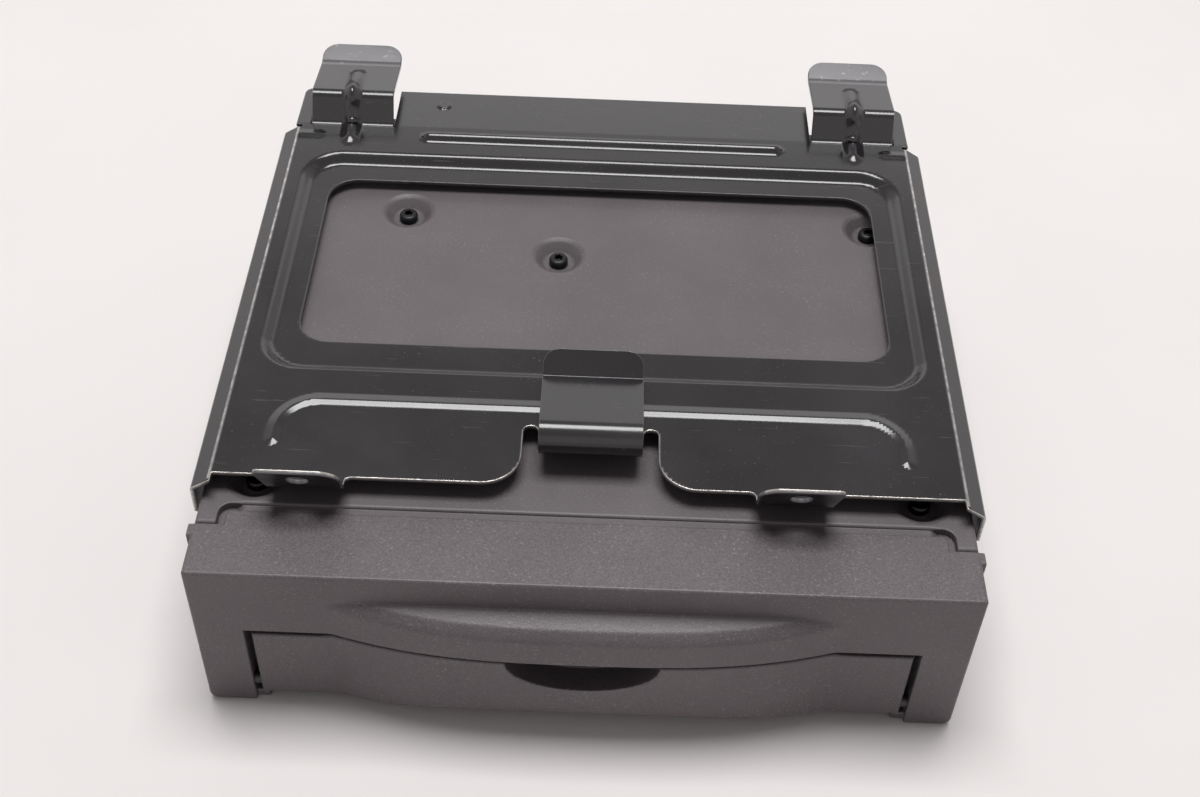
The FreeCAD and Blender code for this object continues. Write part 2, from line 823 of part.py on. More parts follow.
def uprightScrew(x, depth, z, length, radius, headRadius, headHeight, chamfer):
    # chamfered pan head on a plain shank
    outline = [(0, -length), (radius, -length), (radius, 0), (headRadius, 0), (headRadius, headHeight - chamfer),
               (headRadius - chamfer, headHeight), (0, headHeight)]
    return revolved(outline, x, depth, z)


def makeHousingScrews():
    seat = housingTopZ - dimpleDepth
    solids = []
    for x, depth in housingPosts + [shieldScrew]:
        length = screwLength if (x, depth) == shieldScrew else seat - splitZ + screwGrip
        solids.append(uprightScrew(x, depth, seat, length, screwCore - runningFit,
                                   screwHeadRadius, screwHeadHeight, screwHeadChamfer))
    return Part.makeCompound(solids)


def flatHead(s, depth, grow):
    # cone of a flat head, flush with the flange
    place = at(s * flangeHalfWidth, depth, flangeBottomZ + flangeScrewRise)
    return Part.makeCone(flatHeadRadius + grow, screwCore + grow, sheet, place, Vector(-s, 0, 0))


def makeBracketScrews():
    # flat heads sunk in the side flanges
    z = flangeBottomZ + flangeScrewRise
    solids = []
    for s in (-1, 1):
        for depth in flangeScrewDepths:
            shank = cylinder(screwCore, screwLength - 1, s * flangeHalfWidth, depth, z, Vector(-s, 0, 0))
            solids.append(flatHead(s, depth, 0).fuse(shank).removeSplitter())
    return Part.makeCompound(solids)


def bracketSection():
    # cross section of plate, slope and side flange, pushed along the reader
    slopeX = flangeHalfWidth - shoulderCorner
    slopeZ = plateTopZ - slopeDrop
    half = [(0, plateTopZ), (plateHalfWidth, plateTopZ), (slopeX, slopeZ + 0.4), (flangeHalfWidth, slopeZ - 0.6),
            (flangeHalfWidth, flangeBottomZ), (flangeHalfWidth - sheet, flangeBottomZ),
            (flangeHalfWidth - sheet, slopeZ - 0.6 - sheet * 0.4),
            (plateHalfWidth - sheet * 0.35, plateBottomZ), (0, plateBottomZ)]
    points = half[:-1] + [(-x, z) for x, z in reversed(half)][:-1]
    outline = [at(x, flangeFront, z) for x, z in points]
    return prism(outline, Vector(0, flangeRear - flangeFront, 0))


def beadSection(x, depth, acrossX, acrossDepth, halfWidth, z):
    # trapezoid across a bead
    top = halfWidth - beadHeight * beadSlope
    spots = [(-halfWidth, 0), (halfWidth, 0), (top, beadHeight), (-top, beadHeight)]
    return [at(x + w * acrossX, depth + w * acrossDepth, z + h) for w, h in spots]


def straightBead(x0, d0, x1, d1, halfWidth, z):
    # straight bead with round ends
    length = math.hypot(x1 - x0, d1 - d0)
    section = beadSection(x0, d0, (d1 - d0) / length, (x0 - x1) / length, halfWidth, z)
    bar = prism(section, Vector(x1 - x0, d1 - d0, 0))
    ends = [Part.makeCone(halfWidth, halfWidth - beadHeight * beadSlope, beadHeight, at(x, d, z))
            for x, d in ((x0, d0), (x1, d1))]
    return bar.fuse(ends)


def turnedBead(cx, cd, side, z):
    # quarter turn of the same bead, from straight behind its centre towards one side
    section = beadSection(cx, cd + beadCorner, 0, 1, beadHalfWidth, z)
    face = Part.Face(Part.makePolygon(section + [section[0]]))
    return face.revolve(at(cx, cd, z), Vector(0, 0, -side), 90)


def bracketBeads(z):
    # the long arch at the front, the rib on the tail and the short ribs at its corners
    run = beadHalfSpan - beadCorner
    turn = beadDepth - beadCorner
    foot = beadFootDepth + beadHalfWidth
    beads = [straightBead(-run, beadDepth, run, beadDepth, beadHalfWidth, z),
             straightBead(-tailRibHalfSpan, tailRibDepth, tailRibHalfSpan, tailRibDepth, tailRibHalfWidth, z)]
    for s in (-1, 1):
        beads.append(straightBead(s * beadHalfSpan, foot, s * beadHalfSpan, turn, beadHalfWidth, z))
        beads.append(turnedBead(s * run, turn, s, z))
        ribEnd = plateHalfWidth - beadHeight / 2
        beads.append(straightBead(s * (ribEnd - cornerRibLength), cornerRibDepth, s * ribEnd, cornerRibDepth,
                                  tailRibHalfWidth, z))
    return beads


def makeBracket():
    body = bracketSection()
    plateTrim = block(-flangeHalfWidth - 1, flangeHalfWidth + 1, flangeFront - 1, plateFront,
                      plateTopZ - slopeDrop * 0.5, plateTopZ + 5)
    body = body.cut(plateTrim)
    tail = sheetStrip([(flangeRear - 6, plateTopZ), (tailBend, plateTopZ), (plateRear, plateTopZ - tailDrop)],
                      [], sheet, -tailHalfWidth, tailHalfWidth)
    tail = tail.makeFillet(tailCorner, uprightLike(tail, plateRear))
    body = body.fuse(tail)
    body = body.fuse(bracketBeads(plateTopZ)).cut(bracketUnderside())
    outer = panLoft(0, plateTopZ)
    under = panLoft(sheet * math.tan(math.radians(22.5)), plateBottomZ)
    body = body.fuse(under).cut(outer)
    window = roundedBlock(-windowHalfWidth, windowHalfWidth, windowFront, windowRear,
                          plateTopZ - 10, plateTopZ + 5, windowCorner)
    body = body.cut(window)
    body = body.cut(frontCutout())
    for s in (-1, 1):
        middle = s * (hookInner + hookOuter) / 2
        body = body.fuse(straightBead(middle, gussetFront, middle, hookFoot, gussetRadius, plateTopZ))
        slot = sideBlock(s, hookInner - hookSideGap, hookOuter + hookSideGap,
                         hookFoot - sheet, plateRear + 5, plateBottomZ - 5, plateTopZ + 5)
        body = body.cut(slot)
        for depth in flangeScrewDepths:
            body = body.cut(flatHead(s, depth, flatHeadFit))
    dotZ = plateTopZ - tailDrop * (dotDepth - tailBend) / (plateRear - tailBend) - dotHeight / 3
    dot = Part.makeCone(dotRadius, dotTopRadius, dotHeight, at(dotX, dotDepth, dotZ), Vector(0, 0, 1))
    return body.fuse(dot).removeSplitter()


def bracketUnderside():
    # hollow side of the beads, one sheet below their crowns
    beads = bracketBeads(plateBottomZ)
    return beads[0].fuse(beads[1:])


def uprightLike(shape, depth):
    # the two short edges through the sheet at the tail's outer corners
    found = []
    for edge in shape.Edges:
        points = [v.Point for v in edge.Vertexes]
        near = all(p.y - frontY > depth - 1 for p in points)
        thin = edge.Length < 2 * sheet and abs(points[0].x - points[-1].x) < 1e-6
        if near and thin:
            found.append(edge)
    return found


def panLoft(grow, topZ):
    # pressed-down rim: a frustum from the plate's face to the rim's face
    inset = rimDrop
    upper = roundedOutline(-rimHalfWidth - grow, rimHalfWidth + grow, rimFront - grow, rimRear + grow,
                           rimCorner + grow, topZ)
    lower = roundedOutline(-rimHalfWidth + inset - grow, rimHalfWidth - inset + grow,
                           rimFront + inset - grow, rimRear - inset + grow, rimCorner - inset + grow,
                           topZ - rimDrop)
    return Part.makeLoft([upper, lower], True, True)


def frontCutout():
    # opening of the front edge round the clip, with two round relief notches
    z = plateBottomZ - sheet
    r = recessEdgeRadius
    k = r * (1 - math.sqrt(0.5))
    notchR = (notchOuter - clipHalfWidth) / 2
    notchD = notchRear - notchR
    cut = None
    for s in (-1, 1):
        edges = [
            line(at(0, plateFront - 5, z), at(s * recessEdgeHalfWidth, plateFront - 5, z)),
            line(at(s * recessEdgeHalfWidth, plateFront - 5, z), at(s * recessEdgeHalfWidth, plateFront, z)),
            arcThrough(at(s * recessEdgeHalfWidth, plateFront, z),
                       at(s * (recessEdgeHalfWidth - r + k), plateFront + k, z),
                       at(s * (recessEdgeHalfWidth - r), plateFront + r, z)),
            line(at(s * notchOuter, plateFront + r, z), at(s * notchOuter, notchD, z)),
            arcThrough(at(s * notchOuter, notchD, z), at(s * (notchOuter - notchR), notchRear, z),
                       at(s * clipHalfWidth, notchD, z)),
            line(at(s * clipHalfWidth, notchD, z), at(s * clipHalfWidth, notchRear, z)),
            line(at(s * clipHalfWidth, notchRear, z), at(0, notchRear, z)),
            line(at(0, notchRear, z), at(0, plateFront - 5, z)),
        ]
        if abs(recessEdgeHalfWidth - r - notchOuter) > 1e-6:
            edges.insert(3, line(at(s * (recessEdgeHalfWidth - r), plateFront + r, z),
                                 at(s * notchOuter, plateFront + r, z)))
        side = Part.Face(Part.Wire(edges)).extrude(Vector(0, 0, flangeHeight))
        cut = side if cut is None else cut.fuse(side)
    return cut


def makeEar(s):
    # tab that runs forward from the plate, then up and forward, with a screw hole
    lean = math.radians(earLean)
    rootY = earFront + sheet
    up = (-math.sin(lean), math.cos(lean))
    tipY = earFront + up[0] * earLength
    tipZ = plateBottomZ + up[1] * earLength
    across = (math.cos(lean), math.sin(lean))
    points = [(plateFront, plateTopZ), (rootY + 0.2, plateTopZ),
              (tipY + across[0] * sheet, tipZ + across[1] * sheet), (tipY, tipZ),
              (earFront, plateBottomZ), (plateFront, plateBottomZ)]
    inner = s * earInners[s]
    rootOuter = inner + s * earRootWidth
    tipOuter = inner + s * earTipWidth
    strip = sideProfile(points, inner, tipOuter)
    low = plateBottomZ - 1
    r = earCorner
    k = r * (1 - math.sqrt(0.5))
    c = earOuterCorner
    back = plateFront + sheet + earLength
    d = plateFront + sheet - back
    zTip = tipZ + across[1] * sheet
    edges = [
        line(at(inner, d, low), at(inner, d, zTip - r)),
        arcThrough(at(inner, d, zTip - r), at(inner + s * k, d, zTip - k), at(inner + s * r, d, zTip)),
        line(at(inner + s * r, d, zTip), at(tipOuter - s * c, d, zTip)),
        arcThrough(at(tipOuter - s * c, d, zTip), at(tipOuter - s * c * 0.29, d, zTip - c * 0.29),
                   at(tipOuter, d, zTip - c)),
        line(at(tipOuter, d, zTip - c), at(rootOuter, d, plateTopZ)),
        line(at(rootOuter, d, plateTopZ), at(rootOuter, d, low)),
        line(at(rootOuter, d, low), at(inner, d, low)),
    ]
    outline = Part.Face(Part.Wire(edges)).extrude(Vector(0, back, 0))
    ear = strip.common(outline)
    holeX = (inner + tipOuter) / 2
    centre = at(holeX, tipY - up[0] * earHoleFromTip, tipZ - up[1] * earHoleFromTip)
    axis = Vector(0, across[0], across[1])
    hole = Part.makeCylinder(earHoleRadius, 6 * sheet, centre - axis * (3 * sheet), axis)
    return ear.cut(hole)


def makeEars():
    return Part.makeCompound([makeEar(s) for s in (-1, 1)])


def makeClip():
    # strip from the plate forward, round a U bend, back over the plate and up at its tip
    r = clipBendRadius
    cd = clipFront + r
    cz = plateBottomZ + r
    armAngle = math.atan2(clipArmDrop, clipArmEnd - cd)
    inner = r - sheet
    turnEnd = (cd + r * math.sin(armAngle), cz + r * math.cos(armAngle))
    innerEnd = (cd + inner * math.sin(armAngle), cz + inner * math.cos(armAngle))
    armRun = (clipArmEnd - turnEnd[0]) / math.cos(armAngle)
    x0 = -clipHalfWidth

    def along(p, angle, length):
        return p[0] + length * math.cos(angle), p[1] + length * math.sin(angle)

    tip = math.radians(clipTipAngle)
    upperBend = along(turnEnd, -armAngle, armRun)
    lowerBend = along(innerEnd, -armAngle, armRun + sheet * math.tan((tip + armAngle) / 2))
    upperTip = along(upperBend, tip, clipTipLength)
    lowerTip = upperTip[0] + sheet * math.sin(tip), upperTip[1] - sheet * math.cos(tip)
    half = math.sqrt(0.5)
    edges = [
        line(at(x0, notchRear, plateTopZ), at(x0, cd, plateTopZ)),
        arcThrough(at(x0, cd, plateTopZ), at(x0, cd - inner, cz), at(x0, *innerEnd)),
        line(at(x0, *innerEnd), at(x0, *lowerBend)),
        line(at(x0, *lowerBend), at(x0, *lowerTip)),
        line(at(x0, *lowerTip), at(x0, *upperTip)),
        line(at(x0, *upperTip), at(x0, *upperBend)),
        line(at(x0, *upperBend), at(x0, *turnEnd)),
        arcThrough(at(x0, *turnEnd), at(x0, cd - r, cz), at(x0, cd, plateBottomZ)),
        line(at(x0, cd, plateBottomZ), at(x0, notchRear, plateBottomZ)),
        line(at(x0, notchRear, plateBottomZ), at(x0, notchRear, plateTopZ)),
    ]
    body = Part.Face(Part.Wire(edges)).extrude(Vector(2 * clipHalfWidth, 0, 0))
    return roundTip(body, upperTip[0], clipTipCorner, clipHalfWidth)


def roundTip(body, depth, radius, halfWidth, middle=0.0):
    # rounds the two corners of a strip's free end
    edges = []
    for edge in body.Edges:
        points = [v.Point for v in edge.Vertexes]
        atEnd = all(p.y - frontY > depth - 2 * sheet for p in points)
        atSide = all(abs(abs(p.x - middle) - halfWidth) < 1e-6 for p in points)
        sameSide = abs(points[0].x - points[-1].x) < 1e-6
        if atEnd and atSide and sameSide and edge.Length < 2 * sheet:
            edges.append(edge)
    return body.makeFillet(radius, edges)


def makeHooks():
    tip = math.radians(hookTipAngle)
    tipPoint = (hookBend + hookTipLength * math.cos(tip), hookBendZ + hookTipLength * math.sin(tip))
    solids = []
    for s in (-1, 1):
        x0, x1 = sorted((s * hookInner, s * hookOuter))
        strip = sheetStrip([(hookFoot - sheet, plateTopZ), (hookFoot, plateTopZ), (hookTop, hookTopZ),
                            (hookBend, hookBendZ), tipPoint], [(1.0, 2.0), (2.2, 1.0), (3.0, 2.0)], sheet, x0, x1)
        strip = roundTip(strip, tipPoint[0], hookTipCorner, (hookOuter - hookInner) / 2,
                         s * (hookOuter + hookInner) / 2)
        solids.append(strip.fuse(gusset(s * (hookOuter + hookInner) / 2)).removeSplitter())
    return Part.makeCompound(solids)


def gusset(x):
    # raised rib over the hook's two bends: round bars, cut off at the strip's underside
    r = gussetRadius
    lift = gussetRise - r
    slope = (hookTopZ - hookBendZ) / (hookBend - hookTop)
    places = [(hookFoot - 2 * sheet, plateTopZ + lift), (hookFoot + 0.6, plateTopZ + 2.4 + lift),
              (hookTop + 0.6, hookTopZ + lift),
              (gussetRear, hookTopZ - slope * (gussetRear - hookTop) + lift - 0.5)]
    chain = []
    for i, (depth, z) in enumerate(places):
        if i > 0:
            chain.append(Part.makeSphere(r, at(x, depth, z)))
        if i + 1 < len(places):
            d2, z2 = places[i + 1]
            axis = Vector(0, d2 - depth, z2 - z)
            chain.append(Part.makeCylinder(r, axis.Length, at(x, depth, z), axis))
    bar = chain[0].fuse(chain[1:])
    upper = sideProfile([(hookFoot - sheet, plateTopZ - 0.5), (hookFoot + 0.5, plateTopZ - 0.5),
                         (hookTop + 0.5, hookTopZ - 0.6), (hookBend, hookBendZ - 0.6), (hookBend, hookTopZ + 5),
                         (hookFoot - sheet, hookTopZ + 5)], x - r, x + r)
    return bar.common(upper)


def makeSlotPanel():
    half = mouthHalfWidth - panelSideGap
    body = block(-half, half, panelFront, panelFront + panelThick, fasciaWall + 1, mouthTopZ + 1.5)
    skirt = [block(-half, half, panelFront, fasciaDepth + frontGap + 4, z, z + panelThick)
             for z in (fasciaWall + mouthSill + panelSideGap, mouthTopZ - panelThick / 4)]
    body = body.fuse(skirt)
    slot = roundedSlot(slotHalfWidth, slotHeight, panelFront - 1, panelThick + 2)
    body = body.cut(slot)
    for x in (buttonX - switchPostOffset, buttonX + switchPostOffset):
        body = body.fuse(cylinder(switchPostRadius, switchBoardFront() - panelFront, x, panelFront,
                                  discZ + switchPostRise, Vector(0, 1, 0)))
    hole = block(buttonX - buttonWidth / 2 - buttonClearance, buttonX + buttonWidth / 2 + buttonClearance,
                 panelFront - 1, panelFront + panelThick + 1,
                 buttonZ - buttonHeight / 2 - buttonClearance, buttonZ + buttonHeight / 2 + buttonClearance)
    return body.cut(hole).removeSplitter()


def roundedSlot(halfWidth, height, front, length):
    r = height / 2
    bar = block(-halfWidth + r, halfWidth - r, front, front + length, discZ - r, discZ + r)
    ends = [cylinder(r, length, s * (halfWidth - r), front, discZ, Vector(0, 1, 0)) for s in (-1, 1)]
    return bar.fuse(ends)


def makeSlotFelts():
    front = panelFront + panelThick
    solids = []
    for s in (-1, 1):
        z0, z1 = sorted((discZ + s * feltGap, discZ + s * (slotHeight / 2 + feltOverlap)))
        solids.append(block(-slotHalfWidth, slotHalfWidth, front, front + feltThick, z0, z1))
    return Part.makeCompound(solids)


def makeEjectButton():
    front = panelFront - buttonProud
    rear = panelFront + panelThick
    x0, x1 = buttonX - buttonWidth / 2, buttonX + buttonWidth / 2
    z0, z1 = buttonZ - buttonHeight / 2, buttonZ + buttonHeight / 2
    cap = block(x0, x1, front, rear + 2 * clearance, z0, z1)
    frontEdges = [e for e in cap.Edges if all(v.Point.y < frontY + front + 1e-6 for v in e.Vertexes)]
    cap = cap.makeChamfer(buttonEdge, frontEdges)
    flange = block(x0 - buttonFlangeReach, x1 + buttonFlangeReach,
                   rear + clearance, rear + clearance + buttonFlange,
                   z0 - buttonFlangeReach, z1 + buttonFlangeReach)
    return cap.fuse(flange).removeSplitter()


def switchBoardFront():
    # the switch's knob stands just behind the pressed button
    return panelFront + panelThick + 2 * clearance + buttonFlange + buttonTravel + switchKnobReach


def makeSwitchBoard():
    front = switchBoardFront()
    half = buttonHeight / 2
    board = block(buttonX - switchBoardHalfWidth, buttonX + switchBoardHalfWidth, front, front + switchBoardThick,
                  buttonZ - switchBoardDrop, discZ + switchPostRise + switchPostRadius + switchBoardEdge)
    switch = block(buttonX - half, buttonX + half, front - switchKnobReach * 0.75, front,
                   buttonZ - half, buttonZ + half)
    knob = cylinder(half / 2, switchKnobReach * 0.25, buttonX, front - switchKnobReach, buttonZ, Vector(0, 1, 0))
    return board.fuse([switch, knob]).removeSplitter()


def makeShieldPlate():
    half = housingWidth / 2 - housingWall - shieldSideGap
    low, high = shieldBottomZ - 1, shieldBottomZ + shieldSheet + 1
    body = roundedBlock(-half, half, fasciaDepth + shieldFrontGap, housingDepth - housingWall - shieldSideGap,
                        shieldBottomZ, shieldBottomZ + shieldSheet, housingCornerRadius)
    bossRoom = flangeBossRadius + 2
    for s in (-1, 1):
        body = body.fuse(sideBlock(s, half - shieldSheet, half, shieldSkirtFront, shieldSkirtRear,
                                   shieldBottomZ - shieldSkirtDrop, shieldBottomZ + shieldSheet))
        for depth in flangeScrewDepths:
            body = body.cut(sideBlock(s, half - 4, half + 2, depth - bossRoom, depth + bossRoom, low, high))
    for x, depth in housingPosts:
        body = body.cut(cylinder(postRadius + 0.5, high - low, x, depth, low))
    x, depth = shieldScrew
    nut = cylinder(2 * screwRadius + 0.2, shieldNutHeight, x, depth, shieldBottomZ - shieldNutHeight)
    body = body.fuse(nut).cut(cylinder(screwRadius, 8, x, depth, shieldBottomZ - 4))
    for i in range(shieldSlotCount):
        x = (i - (shieldSlotCount - 1) / 2) * shieldSlotPitch
        body = body.cut(block(x - shieldSlotWidth / 2, x + shieldSlotWidth / 2,
                              shieldSlotFront, shieldSlotRear, low, high))
    return body.removeSplitter()


def standoffPlaces():
    return [(s * standoffX, depth) for s in (-1, 1) for depth in standoffDepths]


def makeBoardStandoffs():
    return Part.makeCompound([cylinder(standoffRadius, standoffHeight, x, depth, boardTopZ)
                              for x, depth in standoffPlaces()])


def makeMainBoard():
    body = block(-boardHalfWidth, boardHalfWidth, boardFront, boardRear, boardBottomZ, boardTopZ)
    for x, depth in housingPosts + [shieldScrew]:
        body = body.cut(cylinder(postRadius + 1.5, 2 * boardThick, x, depth, boardBottomZ - boardThick / 2))
    return body


def makeBoardParts():
    solids = [block(x - w / 2, x + w / 2, d - l / 2, d + l / 2, boardTopZ, boardTopZ + h)
              for x, d, w, l, h in chips]
    solids += [cylinder(canRadius, canHeight, canX + canPitch * i, canDepth, boardTopZ) for i in range(canCount)]
    return Part.makeCompound(solids)


def makeRearConnector():
    z1 = boardBottomZ
    z0 = z1 - connectorHeight
    rear = housingDepth + connectorProud
    front = rear - connectorLength
    x0, x1 = connectorX - connectorWidth / 2, connectorX + connectorWidth / 2
    w = connectorWall
    body = block(x0, x1, front, rear, z0, z1)
    cavity = block(x0 + w, x1 - w, front + connectorFloor, rear + 1, z0 + w, z1 - w)
    key = block(connectorX - 2 * w, connectorX + 2 * w, front + connectorLength / 2, rear + 1,
                z1 - w - 1, z1 - w / 2)
    return body.cut(cavity).cut(key)


def makeConnectorPins():
    z = boardBottomZ - connectorHeight / 2
    front = housingDepth + connectorProud - connectorLength + connectorFloor
    half = pinSize / 2
    solids = []
    for row in (-1, 1):
        for i in range(pinColumns):
            x = connectorX + (i - (pinColumns - 1) / 2) * pinPitch
            zRow = z + row * pinRowOffset
            solids.append(block(x - half, x + half, front, front + pinLength, zRow - half, zRow + half))
    return Part.makeCompound(solids)


def makeAntennaSocket():
    z = socketZ()
    y = Vector(0, 1, 0)
    front = housingDepth - socketInset
    floor = front + socketFloor + socketWall
    shell = cylinder(socketRadius, socketLength, socketX, front, z, y)
    shell = shell.cut(cylinder(socketRadius - socketWall, socketLength, socketX, floor, z, y))
    core = cylinder(socketCore, socketLength - socketFloor, socketX, front + socketFloor, z, y)
    foot = block(socketX - socketRadius, socketX + socketRadius, front - socketInset, front + socketWall,
                 z - socketRadius + socketWall, boardBottomZ)
    return shell.fuse([core, foot]).removeSplitter()


def makeRibbonCable():
    # flat cable from the main board down to the mechanism, two bends
    x0, x1 = cableLeft, cableLeft + cableWidth
    rear = mechRear + cableRun
    footZ = mechFloorZ + cableFootRise
    body = block(x0, x1, rear, rear + cableThick, footZ, boardBottomZ)
    foot = block(x0, x1, mechRear, rear + cableThick, footZ, footZ + cableThick)
    plug = block(x0 - cablePlugThick, x1 + cablePlugThick, rear - cablePlugThick, rear,
                 boardBottomZ - cablePlugHeight, boardBottomZ)
    return body.fuse([foot, plug]).removeSplitter()


def mechOutline(inset, z0, z1):
    w = mechHalfWidth - inset
    cornerX = mechCornerX - inset * 0.5
    rear = mechRear - inset
    points = [(-w, mechFront + inset), (w, mechFront + inset), (w, mechCornerStart), (cornerX, mechCornerEnd),
              (cornerX, rear), (-cornerX, rear), (-cornerX, mechCornerEnd), (-w, mechCornerStart)]
    return prism([at(x, d, z0) for x, d in points], Vector(0, 0, z1 - z0))


def makeMechChassis():
    body = mechOutline(0, mechFloorZ, mechTopZ).cut(mechOutline(mechSheet, mechFloorZ + mechSheet, mechTopZ + 1))
    slotHalf = slotHeight / 2 + 0.2
    slot = block(-slotHalfWidth - 1, slotHalfWidth + 1, mechFront - 1, mechFront + 3,
                 discZ - slotHalf, discZ + slotHalf)
    body = body.cut(slot)
    grooveZ = damperSeatZ + damperHeight / 2
    for s in (-1, 1):
        for depth in damperDepths:
            ear = sideBlock(s, mechHalfWidth - mechSheet / 2, damperX + damperRadius,
                            depth - damperEarHalfWidth, depth + damperEarHalfWidth,
                            grooveZ - mechSheet / 2, grooveZ + mechSheet / 2)
            hole = cylinder(damperRadius - damperGroove + 0.1, 3, s * damperX, depth, grooveZ - 1.5)
            body = body.fuse(ear).cut(hole)
        body = body.cut(cylinder(bushRadius, 6, s * (mechHalfWidth - 3), rollerDepth, rollerZ, Vector(s, 0, 0)))
        body = body.fuse(sideBlock(s, clampLugX, clampLugX + clampLugThick, clampDepth - clampLugRadius,
                                   mechRear - mechSheet / 2, clampZ - clampLugRadius, clampZ + clampLugRadius))
    body = body.cut(cylinder(clampPinRadius, 4 * clampLugX, -2 * clampLugX, clampDepth, clampZ, Vector(1, 0, 0)))
    for x in (baseLeft + studInset, baseRight - studInset + 1.2):
        for depth in (baseFront + studInset - 2, baseRear - studInset):
            body = body.fuse(cylinder(studRadius, baseTopZ - baseThick - mechFloorZ, x, depth, mechFloorZ))
    idlerHole = cylinder(idlerPinRadius + seatFit / 2, 6, mechHalfWidth - 3, idlerDepth, rollerZ, Vector(1, 0, 0))
    motorHole = cylinder(motorNoseRadius + 0.1, 6, mechHalfWidth - 3, pinionDepth, rollerZ, Vector(1, 0, 0))
    return body.cut([idlerHole, motorHole]).removeSplitter()


def makeMechCover():
    r = coverDomeRadius
    wall = mechSheet + 1
    body = mechOutline(0, mechTopZ, mechTopZ + mechSheet)
    relief = cylinder(r, 2 * coverDomeRise, 0, spindleDepth, mechTopZ - 1)
    ring = cylinder(r + wall, coverDomeRise, 0, spindleDepth, mechTopZ).cut(relief)
    cap = cylinder(r + wall, mechSheet, 0, spindleDepth, mechTopZ + coverDomeRise)
    body = body.cut(relief).fuse([ring, cap])
    for s in (-1, 1):
        body = body.fuse(sideBlock(s, coverRibInner, coverRibOuter, coverRibFront, coverRibRear,
                                   mechTopZ + mechSheet / 2, mechTopZ + mechSheet * 1.6))
    return body.removeSplitter()


def makeDampers():
    # rubber rings with a groove for the chassis
    groove = damperRadius - damperGroove
    bore = damperPostRadius + seatFit
    low = damperHeight / 2 - mechSheet / 2 - seatFit
    high = damperHeight - low
    outline = [(bore, 0), (damperRadius, 0), (damperRadius, low), (groove, low), (groove, high),
               (damperRadius, high), (damperRadius, damperHeight), (bore, damperHeight)]
    return Part.makeCompound([revolved(outline, x, depth, damperSeatZ) for x, depth in damperPlaces()])


def makeDamperScrews():
    z = damperSeatZ + damperHeight
    thick = damperWasherThick
    return Part.makeCompound([uprightScrew(x, depth, z, damperScrewLength, damperScrewRadius,
                                           damperWasherRadius, thick, thick / 2) for x, depth in damperPlaces()])


def makeRollerShaft():
    left = mechHalfWidth + rollerShaftEnd
    length = left + gearX + gearThick + gearEnd
    return cylinder(rollerShaftRadius, length, -left, rollerDepth, rollerZ, Vector(1, 0, 0))


def makeRollerSleeves():
    # two rubber sleeves, waisted towards the middle so that the disc centres itself
    solids = []
    for s in (-1, 1):
        x0, x1 = s * sleeveGap, s * sleeveEnd
        points = [at(x0, rollerDepth, rollerZ + rollerShaftRadius), at(x0, rollerDepth, rollerZ + rollerRadius),
                  at(x1, rollerDepth, rollerZ + rollerEndRadius), at(x1, rollerDepth, rollerZ + rollerShaftRadius)]
        face = Part.Face(Part.makePolygon(points + [points[0]]))
        solids.append(face.revolve(at(0, rollerDepth, rollerZ), Vector(1, 0, 0), 360))
    return Part.makeCompound(solids)


def makeRollerBushes():
    solids = []
    for s in (-1, 1):
        side = Vector(s, 0, 0)
        x = s * (mechHalfWidth - mechSheet - bushReach)
        bush = cylinder(bushRadius - seatFit, mechSheet + bushReach + bushCollar, x, rollerDepth, rollerZ, side)
        collar = cylinder(bushRadius + bushCollar, bushCollar, x, rollerDepth, rollerZ, side)
        bore = cylinder(rollerShaftRadius + runningFit, 12, s * (mechHalfWidth - 6), rollerDepth, rollerZ, side)
        solids.append(bush.fuse(collar).cut(bore))
    return Part.makeCompound(solids)


def spurGear(teeth, x, depth, thick, bore, phase):
    # spur gear with straight-sided teeth narrower than their gaps
    pitch = gearModule * teeth / 2
    tip = pitch + gearModule * 0.9
    root = pitch - gearModule * 1.2
    points = []
    for i in range(teeth):
        middle = 2 * math.pi * i / teeth + phase
        step = math.pi / teeth
        for radius, share in ((root, -0.62), (tip, -0.24), (tip, 0.24), (root, 0.62)):
            angle = middle + share * step
            points.append(at(x, depth + radius * math.sin(angle), rollerZ + radius * math.cos(angle)))
    body = prism(points, Vector(thick, 0, 0))
    return body.cut(cylinder(bore, thick + 2, x - 1, depth, rollerZ, Vector(1, 0, 0)))


def makeRollerGear():
    return spurGear(rollerTeeth, gearX, rollerDepth, gearThick, rollerShaftRadius, math.pi / 2)


def makeIdlerGear():
    # a gap faces the roller gear's tooth
    phase = -math.pi / 2 + math.pi / idlerTeeth
    return spurGear(idlerTeeth, gearX, idlerDepth, gearThick, idlerPinRadius + runningFit, phase)


def makeIdlerPin():
    right = Vector(1, 0, 0)
    headX = gearX + gearThick + clearance
    inside = mechHalfWidth - mechSheet
    pin = cylinder(idlerPinRadius, headX - inside, inside, idlerDepth, rollerZ, right)
    rim = idlerPinRadius + idlerPinRim
    head = cylinder(rim, idlerPinHead, headX, idlerDepth, rollerZ, right)
    collar = cylinder(rim, gearX - clearance - mechHalfWidth, mechHalfWidth, idlerDepth, rollerZ, right)
    return pin.fuse([head, collar]).removeSplitter()


def makeMotorPinion():
    # with an odd idler its tooth, not its gap, faces the pinion
    phase = -math.pi / 2 + (idlerTeeth % 2) * math.pi / pinionTeeth
    return spurGear(pinionTeeth, gearX, pinionDepth, gearThick, motorShaftRadius + runningFit, phase)


